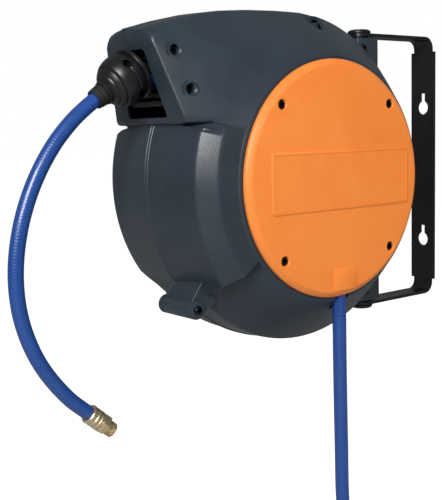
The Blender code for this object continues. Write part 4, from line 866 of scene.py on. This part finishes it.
def make_half(name, side, node):
    lip = 0.2
    rows = case_rows(0.0)
    base = rows[0]
    rows = eased_rows(rows)
    bead = []
    for height, y in ((BEAD_HEIGHT - 0.35, lip), (BEAD_HEIGHT, lip + 0.35), (BEAD_HEIGHT, 2.1),
                      (BEAD_HEIGHT * 0.6, 2.6), (0.0, 3.0)):
        bead.append([Vector((p.x, 0, p.z)) * (1 + height / math.hypot(p.x, p.z)) + Vector((0, y,
                0)) for p in base])
    outside = bead + rows[1:]
    inside = list(reversed(case_rows(WALL)))
    inside[-1] = [p + Vector((0, lip, 0)) for p in inside[-1]]
    bore = AXLE_RADIUS + GAP
    flat = CONE_Y - 1.1 * WALL
    if side < 0:
        floor = BULKHEAD_Y - BULKHEAD
        middle = [circle_row(CONE_RADIUS - 1.2, CONE_Y), circle_row(POCKET_RADIUS + 0.8, CONE_Y),
                  circle_row(POCKET_RADIUS, CONE_Y - 0.8),
                  circle_row(POCKET_RADIUS, BULKHEAD_Y), circle_row(bore, BULKHEAD_Y),
                      circle_row(bore, floor),
                  circle_row(POCKET_RADIUS + WALL, floor), circle_row(POCKET_RADIUS + WALL, flat)]
    else:
        # Closed back: a shallow dish with a raised hub round the axle's nut.
        middle = [circle_row(CONE_RADIUS - 1.2, CONE_Y), circle_row(CONE_RADIUS - 6.0, CONE_Y),
                  circle_row(CONE_RADIUS - 7.5, CONE_Y - 1.2),
                  circle_row(34.0, CONE_Y - 1.2), circle_row(32.5, CONE_Y), circle_row(bore, CONE_Y),
                      circle_row(bore, flat)]
    outside[-1] = circle_row(CONE_RADIUS, CONE_Y - 0.8)
    shell = piece(name, ring_body(outside + middle + inside, side), CASE, "case", [node], merge=0,
                  recalc=False)
    joined = [tool(f"{name}_void_{i}", bm) for i, bm in enumerate(added_to_shell(side))]
    removed = [tool(f"{name}_cut_{i}", bm) for i, bm in enumerate(cut_from_shell(side))]
    carve(shell, joined, removed, smooth=32)
    return shell


def added_to_shell(side):
    """Pivot lugs, the lower boss and its web, the scallop's boss and the screw cups."""
    out = (0, side, 0)
    made = []
    for end in (-1, 1):
        ys = sorted((0.2 * side, side * LUG_HALF_WIDTH))
        zs = sorted((end * 84.0, end * LUG_TOP))
        made.append(block((PIVOT_X - LUG_HALF_LENGTH, ys[0], zs[0]),
                          (PIVOT_X + LUG_HALF_LENGTH, ys[1], zs[1]), 1.5, 3))
    x, z = LOWER_LUG
    long = LOWER_LUG_REACH[side]
    made.append(rod(LOWER_LUG_RADIUS, long - 0.2, (x, side * (long + 0.2) / 2, z), out, 40, 1.0))
    inward = Vector((-x, 0, -z)).normalized()
    across = Vector((-inward.z, 0, inward.x))
    corners = []
    for along, half in ((-2.0, 6.8), (22.0, 12.5)):
        for sign in (-1, 1):
            for y in (0.2, long - 3.0):
                corners.append(Vector((x, side * y, z)) + inward * along + across * half * sign)
    made.append(wrapped(corners, 1.0))
    x, z = TOP_SCREW
    made.append(rod(11.5, SCALLOP_FLOOR + 5.8, (x, side * (SCALLOP_FLOOR + 6.2) / 2, z - 4.0), out, 40))
    for x, z in NOSE_SCREWS:
        wall = nose_side_y(x, z)
        made.append(rod(SCREW_HEAD_RADIUS + 3.2, NOSE_CUP_DEPTH,
                        (x, side * (wall - 1.5 - NOSE_CUP_DEPTH / 2), z), out))
    return made


def cut_from_shell(side):
    """Mouth, scallop, screw recesses, pivot bores and, in front, the slot for the supply hose."""
    out = (0, side, 0)
    x, z = TOP_SCREW
    made = [rod(SCALLOP_RADIUS, 60.0, (x, side * (SCALLOP_FLOOR + 30.0), z + 3.0), out, 48)]
    for x, z in NOSE_SCREWS:
        wall = nose_side_y(x, z)
        floor = wall - NOSE_CUP_DEPTH + 1.5
        profile = [(0, floor - 40.0), (2.3, floor - 40.0), (2.3, floor), (SCREW_HEAD_RADIUS + 0.4, floor),
                   (SCREW_HEAD_RADIUS + 0.4, wall - 1.4), (SCREW_HEAD_RADIUS + 1.8, wall + 0.4),
                       (SCREW_HEAD_RADIUS + 1.8, wall + 12.0), (0, wall + 12.0)]
        made.append(spun(profile, (x, 0, z), out, 40))
    points = []
    for x in (nose_front_x(MOUTH_TOP) - 12.0, -NOSE_FOOT_X + 10.0):
        for z, half in ((MOUTH_BOTTOM, MOUTH_FOOT_HALF_WIDTH), (MOUTH_TOP, MOUTH_TOP_HALF_WIDTH)):
            points += [(x, -half, z), (x, half, z)]
    made.append(wrapped(points, 3.0))
    for x, z in (LOWER_LUG, TOP_SCREW, REAR_SCREW, (REAR_SCREW[0], -REAR_SCREW[1])):
        made.append(rod(2.2, 120.0, (x, 0, z), out, 20))
    for end in (-1, 1):
        made.append(rod(PIN_RADIUS + 0.5, 30.0, (PIVOT_X, 0, end * (LUG_TOP - 5.0)), (0, 0, 1), 32))
    if side < 0:
        half = 7.3
        made.append(block((INLET.x - half, -CONE_Y - 10, -130.0),
                          (INLET.x + half, INLET.y + HOSE_RADIUS + 1.4, -POCKET_RADIUS + 4.0), 2.0))
    return made


# ---------------------------------------------------------------- side cover and screws

def cover_screws():
    offset = COVER_SCREW_OFFSET
    return [(x, z) for x in (-offset, offset) for z in (offset, -offset)]


def make_cover():
    """Dished disc with a wide chamfer, a plain raised panel, a tab and four sunk screw seats."""
    front, back = COVER_FRONT, COVER_BACK
    inner = COVER_RADIUS - COVER_THICK
    profile = [(0, front, 0), (COVER_RADIUS - 4.5, front, 1.6), (COVER_RADIUS, front - 3.4, 1.2),
               (COVER_RADIUS, back, 0.5), (inner, back, 0.3),
               (inner, front - COVER_THICK - 1.0, 0.5), (inner - 3.0, front - COVER_THICK, 0.5),
                   (0, front - COVER_THICK, 0)]
    disc = piece("cover_disc", spun(eased(profile, 0.5, 4), (0, 0, 0), (0, -1, 0), 160), ORANGE, "case",
                 ["side_cover"])
    wide, tall = PANEL_SIZE
    lift = front + PANEL_HEIGHT
    panel = soft_plate(PANEL_X, 0.0, wide, tall, lift, front - 0.9, 3.0, 0.45)
    low = -COVER_RADIUS + 5.5
    tab = soft_plate(TAB_X, low + (TAB_SIZE[1] - 4.0) / 2, TAB_SIZE[0], TAB_SIZE[1] - 4.0, lift - 0.1,
                     front - 0.9, 2.0, 0.4)
    inset = soft_plate(PANEL_X, 0.0, wide - 5.0, tall - 5.0, lift + 2.0, lift - 0.35, 2.0, 0.25)
    posts = [rod(SCREW_HEAD_RADIUS + 2.6, COVER_DEPTH - 1.2, (x, -(front + back) / 2, z), (0, 1, 0),
                 28) for x, z in cover_screws()]
    seats = []
    for x, z in cover_screws():
        floor = front - SCREW_HEAD - 0.9
        edge = [(0, back - 12.0), (2.2, back - 12.0), (2.2, floor), (SCREW_HEAD_RADIUS + GAP, floor),
                (SCREW_HEAD_RADIUS + GAP, front - 0.6),
                (SCREW_HEAD_RADIUS + 1.2, front + 0.3), (SCREW_HEAD_RADIUS + 1.2, front + 4.0),
                    (0, front + 4.0)]
        seats.append(spun(edge, (x, 0, z), (0, -1, 0), 36))
    notch = block((INLET.x - 7.3, INLET.y - HOSE_RADIUS - 0.8, -110.0),
                  (INLET.x + 7.3, -back + 5, -COVER_RADIUS + 12.0), 1.5)
    carve(disc, [tool(f"cover_add_{i}", bm) for i, bm in enumerate([panel, tab, *posts])],
          [tool(f"cover_cut_{i}", bm) for i, bm in enumerate([inset, *seats, notch])], smooth=28)


def soft_plate(x, z, wide, tall, high, low, corner, edge):
    """A plate on the cover from depth low to high, its corners round and its outer rim eased."""
    bm = block((x - wide / 2, -high, z - tall / 2), (x + wide / 2, -low, z + tall / 2))
    upright = [e for e in bm.edges if abs(e.verts[0].co.y - e.verts[1].co.y) > 0.1]
    round_edges(bm, upright, corner, 4)
    rim = [e for e in bm.edges if all(abs(v.co.y + high) < 1e-4 for v in e.verts)]
    round_edges(bm, rim, edge, 2)
    return bm


def make_screw(name, body, node, head_at, length, middle, axis, radius=SCREW_HEAD_RADIUS, finish=None):
    """Pan head with a hexagonal socket; head_at is the underside of the head along the axis."""
    top = head_at + SCREW_HEAD
    outer = radius - 0.3
    profile = [(0, head_at - length), (1.2, head_at - length + 1.6), (1.9, head_at - length + 2.4),
               (1.9, head_at), (outer, head_at),
               (outer, top - 1.1), (outer - 0.5, top - 0.4), (outer - 1.2, top), (2.0, top)]
    bm = bmesh.new()
    verts = [bm.verts.new((r, 0, a)) for r, a in profile]
    edges = [bm.edges.new(pair) for pair in zip(verts, verts[1:])]
    bmesh.ops.spin(bm, geom=verts + edges, cent=(0, 0, 0), axis=(0, 0, 1), angle=math.tau, steps=36,
                   use_merge=True)
    bmesh.ops.remove_doubles(bm, verts=bm.verts, dist=0.0005)
    rim = [e for e in bm.edges if e.is_boundary]
    socket = bmesh.ops.create_circle(bm, segments=6, radius=1.75, matrix=Matrix.Translation((0, 0, top)))
    six = list({e for v in socket["verts"] for e in v.link_edges})
    bmesh.ops.bridge_loops(bm, edges=rim + six)
    sunk = bmesh.ops.extrude_edge_only(bm, edges=six)
    low = [g for g in sunk["geom"] if isinstance(g, bmesh.types.BMVert)]
    bmesh.ops.translate(bm, vec=(0, 0, -1.9), verts=low)
    bmesh.ops.contextual_create(bm, geom=low)
    bm.transform(turned_to(middle, axis))
    return piece(name, bm, finish or OXIDE, body, [node], smooth=30)


def make_screws():
    for i, (x, z) in enumerate(cover_screws(), 1):
        make_screw(f"cover_screw_{i}_socket", "case", f"cover_screw_{i}",
                   COVER_FRONT - SCREW_HEAD - 0.9 + GAP, 18.0, (x, 0, z), (0, -1, 0))
    for side, hand in ((-1, "front"), (1, "rear")):
        for (x, z), level in zip(NOSE_SCREWS, ("upper", "lower")):
            seat = nose_side_y(x, z) - NOSE_CUP_DEPTH + 1.5 + GAP
            make_screw(f"nose_screw_{hand}_{level}_socket", "case", f"nose_screw_{hand}_{level}", seat,
                       seat - GUIDE_HALF_WIDTH + 1.0,
                       (x, 0, z), (0, side, 0))
    make_screw("top_screw_socket", "case", "case_screw_top", SCALLOP_FLOOR + GAP, 40.0,
               (TOP_SCREW[0], 0, TOP_SCREW[1]), (0, -1, 0))
    make_screw("lower_screw_socket", "case", "case_screw_lower_front", LOWER_LUG_REACH[-1] + GAP, 46.0,
               (LOWER_LUG[0], 0, LOWER_LUG[1]), (0, -1, 0))
    for end, level in ((1, "upper"), (-1, "lower")):
        make_screw(f"rear_screw_{level}_socket", "case", f"case_screw_rear_{level}",
                   LUG_HALF_WIDTH + GAP, 20.0,
                   (REAR_SCREW[0], 0, end * REAR_SCREW[1]), (0, -1, 0))


# ---------------------------------------------------------------- ball stop and roller guide

def make_ball():
    """Two halves on the hose: a stepped neck, fine ring grooves and a wide rear flange."""
    bore = HOSE_RADIUS + GAP
    radius = BALL_RADIUS
    start = math.asin(9.6 / radius)
    stop = math.radians(115)
    profile = [(bore, BALL_FRONT), (9.1, BALL_FRONT), (9.6, BALL_FRONT - 0.5)]
    for i in range(49):
        angle = start + (stop - start) * i / 48
        dip = 0.0
        for groove in (0.72, 1.02, 1.62):
            dip = max(dip, 0.7 * max(0.0, 1 - abs(angle - groove) / 0.05))
        if angle > 1.02:
            dip -= 0.3
        profile.append(((radius - dip - 0.3) * math.sin(angle), (radius - dip - 0.3) * math.cos(angle)))
    profile += [(radius, -BALL_REAR + 3.2), (radius + 0.3, -BALL_REAR + 2.6),
                (radius + 0.3, -BALL_REAR + 0.5), (radius, -BALL_REAR),
                (14.0, -BALL_REAR), (bore + 1.5, -BALL_REAR)]
    across = Vector((-BALL_AXIS.z, 0, BALL_AXIS.x))
    spots = [BALL + across * 12.8 * side - BALL_AXIS for side in (-1, 1)]
    for name, side, node in (("ball_half_front", -1, "ball_stop_front_half"),
                             ("ball_half_rear", 1, "ball_stop_rear_half")):
        half = piece(name, spun(profile, BALL, BALL_AXIS, 72), NYLON_BLACK, "hose_end", [node])
        low = (-230, -0.15, 0) if side < 0 else (-230, -60, 0)
        high = (-100, 60, 150) if side < 0 else (-100, 0.15, 150)
        cuts = [rod(HOSE_RADIUS + 1.2, 60.0, (BALL.x + 30.0, 0, HOSE_AXIS_Z), (1, 0, 0)), block(low, high)]
        for spot in spots:
            cuts.append(rod(2.2, 50, (spot.x, 0, spot.z), (0, 1, 0), 20))
            if side < 0:
                cuts.append(rod(SCREW_HEAD_RADIUS - 0.6, 20.0, (spot.x, -16.0, spot.z), (0, 1, 0), 32))
        carve(half, removed=[tool(f"{name}_cut_{i}", bm) for i, bm in enumerate(cuts)], smooth=30)
    for i, spot in enumerate(spots, 1):
        make_screw(f"ball_screw_{i}_socket", "hose_end", f"ball_stop_screw_{i}", 6.0 + GAP, 15.0,
                   (spot.x, 0, spot.z), (0, -1, 0), radius=3.2)


def make_guide():
    """Frame behind the mouth with two lying and two standing rollers on stub axles."""
    x0, x1 = GUIDE_X
    wide, tall, wall = GUIDE_HALF_WIDTH, GUIDE_HALF_HEIGHT, GUIDE_WALL
    z = HOSE_AXIS_Z
    body = piece("roller_frame", block((x0, -wide, z - tall), (x1, wide, z + tall), 0.8), NYLON_BLACK,
                 "case", ["roller_guide"])
    window = block((x0 - 5, -wide + wall, z - tall + wall), (x1 + 5, wide - wall, z + tall - wall))
    posts = []
    for side in (-1, 1):
        for x, screw_z in NOSE_SCREWS:
            reach = nose_side_y(x, screw_z) - 1.5 - NOSE_CUP_DEPTH - GAP
            low = wide - wall + 1.0
            posts.append(rod(5.2, reach - low, (x, side * (reach + low) / 2, screw_z), (0, 1, 0), 28))
    front, rear = x0 + 8.0, x1 - 8.0
    off = ROLLER_OFFSET
    spots = (("upper_roller", (front, 0, z + off), (0, 1, 0), wide - wall),
             ("lower_roller", (front, 0, z - off), (0, 1, 0), wide - wall),
             ("front_side_roller", (rear, -off, z), (0, 0, 1), tall - wall),
                 ("rear_side_roller", (rear, off, z), (0, 0, 1), tall - wall))
    holes = []
    for node, middle, axis, half in spots:
        end = half + wall - 1.0
        long = half - 0.5
        profile = [(0, end), (1.5, end), (1.5, long), (4.0, long), (ROLLER_RADIUS, long - 0.6),
                   (ROLLER_RADIUS, 3.0), (4.3, 2.4), (4.3, -2.4),
                   (ROLLER_RADIUS, -3.0), (ROLLER_RADIUS, -long + 0.6), (4.0, -long), (1.5, -long),
                       (1.5, -end), (0, -end)]
        piece(f"{node}_barrel", spun(profile, middle, axis, 40), NYLON_BLACK, node, [node])
        holes.append(rod(2.0, 2 * (end + 3.0), middle, axis, 20))
    holes += [rod(2.2, 120, (x, 0, screw_z), (0, 1, 0), 20) for x, screw_z in NOSE_SCREWS]
    # The window goes first, so that the posts keep clear of the rollers.
    carve(body, [tool(f"guide_add_{i}", bm) for i, bm in enumerate(posts)],
          [tool(f"guide_cut_{i}", bm) for i, bm in enumerate([window, *holes])])


# ---------------------------------------------------------------- bracket and pivots

def make_bracket():
    """One bent strip: plate, two arms with rounded ends, keyholes and a centre hole."""
    half = SHEET / 2
    back = WALL_TO_AXIS - half
    top = ARM_TOP - half
    radius = BEND_RADIUS - half
    upper = [(PIVOT_X - ARM_WIDTH / 2, top)]
    for i in range(17):
        angle = math.pi / 2 * (1 - i / 16)
        upper.append((back - radius + radius * math.cos(angle), top - radius + radius * math.sin(angle)))
    line = upper + [(x, -z) for x, z in reversed(upper)]
    bm = bmesh.new()
    rail = [bm.verts.new((x, -PLATE_WIDTH / 2, z)) for x, z in line]
    edges = [bm.edges.new(pair) for pair in zip(rail, rail[1:])]
    swept = bmesh.ops.extrude_edge_only(bm, edges=edges)
    bmesh.ops.translate(bm, vec=(0, PLATE_WIDTH, 0),
                        verts=[g for g in swept["geom"] if isinstance(g, bmesh.types.BMVert)])
    bmesh.ops.recalc_face_normals(bm, faces=bm.faces)
    bmesh.ops.solidify(bm, geom=list(bm.faces), thickness=SHEET)
    high = max(v.co.x for v in bm.verts)
    bmesh.ops.translate(bm, vec=(WALL_TO_AXIS - high, 0, 0), verts=bm.verts)
    tall = max(v.co.z for v in bm.verts)
    bmesh.ops.scale(bm, vec=(1, 1, ARM_TOP / tall), verts=bm.verts)
    strip = piece("bent_bracket", bm, POWDER, "bracket", ["wall_bracket"])
    cuts = []
    for side in (-1, 1):
        for end in (-1, 1):
            ys = sorted((side * ARM_WIDTH / 2, side * PLATE_WIDTH))
            zs = sorted((end * PLATE_HALF_HEIGHT, end * (ARM_TOP + 5)))
            cuts.append(block((PIVOT_X - 40, ys[0], zs[0]), (WALL_TO_AXIS + 5, ys[1], zs[1])))
    cuts.append(rod(PIN_RADIUS + GAP, 400.0, (PIVOT_X, 0, 0), (0, 0, 1), 32))
    for z in KEYHOLE_HEAD_Z:
        high = z + KEYHOLE_RISE
        cuts.append(rod(7.0, 12, (WALL_TO_AXIS, 0, z), (1, 0, 0), 40))
        cuts.append(rod(3.0, 11, (WALL_TO_AXIS, 0, high), (1, 0, 0), 28))
        cuts.append(block((WALL_TO_AXIS - 5.2, -2.97, z), (WALL_TO_AXIS + 5.2, 2.97, high)))
    cuts.append(rod(2.3, 12, (WALL_TO_AXIS, 0, -1.0), (1, 0, 0), 28))
    ends = []
    for end in (-1, 1):
        corner = block((PIVOT_X - 30, -20, end * 125 - 12), (PIVOT_X, 20, end * 125 + 12))
        corner = tool(f"arm_corner_{end}", corner)
        carve(corner, removed=[tool(f"arm_round_{end}",
                                    rod(ARM_WIDTH / 2, 60, (PIVOT_X, 0, end * 125), (0, 0, 1), 56))])
        ends.append(corner)
    carve(strip, removed=[tool(f"bracket_cut_{i}", bm) for i, bm in enumerate(cuts)] + ends)
    bevel = strip.modifiers.new("pressed_edge", "BEVEL")
    bevel.width = 0.5 * MM
    bevel.segments = 2
    bevel.limit_method = "ANGLE"
    bevel.angle_limit = math.radians(50)


def make_pivots():
    for name, side in (("upper", 1), ("lower", -1)):
        inner = ARM_TOP - SHEET
        head = ARM_TOP + GAP
        profile = [(0, head + PIN_HEAD, 0), (8.8, head + PIN_HEAD, 0.6),
                   (11.0, head + PIN_HEAD - 1.4, 0.6), (11.0, head, 0.3), (PIN_RADIUS, head, 0),
                   (PIN_RADIUS, inner - 18.2, 0.2), (PIN_RADIUS - 0.8, inner - 19.0, 0.2),
                       (0, inner - 19.0, 0)]
        piece(f"{name}_headed_pin", spun(eased(profile, 0.4, 3), (PIVOT_X, 0, 0), (0, 0, side), 48),
              POWDER, "bracket", [f"{name}_pivot_pin"])
        low = inner - GAP - WASHER
        ring = [(PIN_RADIUS + GAP, low), (8.5, low), (8.5, low + WASHER), (PIN_RADIUS + GAP, low + WASHER)]
        piece(f"{name}_thrust_washer", spun(eased(ring, 0.2, 2), (PIVOT_X, 0, 0), (0, 0, side), 40),
              NYLON_BLACK, "bracket", [f"{name}_pivot_washer"])


def make_axle_end():
    """What shows at the back: washer, chamfered nut and the axle's turned end."""
    at = CONE_Y + GAP
    ring = [(AXLE_RADIUS + GAP, at), (16, at), (16, at + 1.6), (AXLE_RADIUS + GAP, at + 1.6)]
    piece("axle_end_washer", spun(eased(ring, 0.3, 2), (0, 0, 0), (0, 1, 0), 48), ZINC, "case",
          ["axle_washer"])
    low = at + 1.6 + GAP
    nut = bmesh.new()
    bmesh.ops.create_cone(nut, cap_ends=True, segments=6, radius1=13.8, radius2=13.8, depth=7.0)
    round_edges(nut, list(nut.edges), 0.7, 2)
    nut.transform(turned_to((0, low + 3.5, 0), (0, 1, 0)))
    nut = piece("axle_end_nut", nut, ZINC, "case", ["axle_nut"], smooth=28)
    carve(nut, removed=[tool("nut_bore", rod(AXLE_RADIUS + GAP, 20, (0, low + 3.5, 0), (0, 1, 0), 48))],
          smooth=28)
    front = BULKHEAD_Y + 1.6
    back = CONE_Y + 12.0
    profile = [(0, -front, 0), (AXLE_RADIUS, -front, 0.8), (AXLE_RADIUS, back, 1.0), (0, back, 0)]
    piece("turned_axle", spun(eased(profile, 0.8, 3), (0, 0, 0), (0, 1, 0), 48), ZINC, "case", ["axle"])


make_half("shell_front", -1, "front_shell")
make_half("shell_rear", 1, "rear_shell")
make_cover()
make_screws()
make_ball()
make_guide()
make_bracket()
make_pivots()
make_axle_end()


# ---------------------------------------------------------------- carried-over nodes

for node, obj in frame["nodes"].items():
    for place in obj.material_slots:
        place.material = FINISHES[SLOTS[node]]
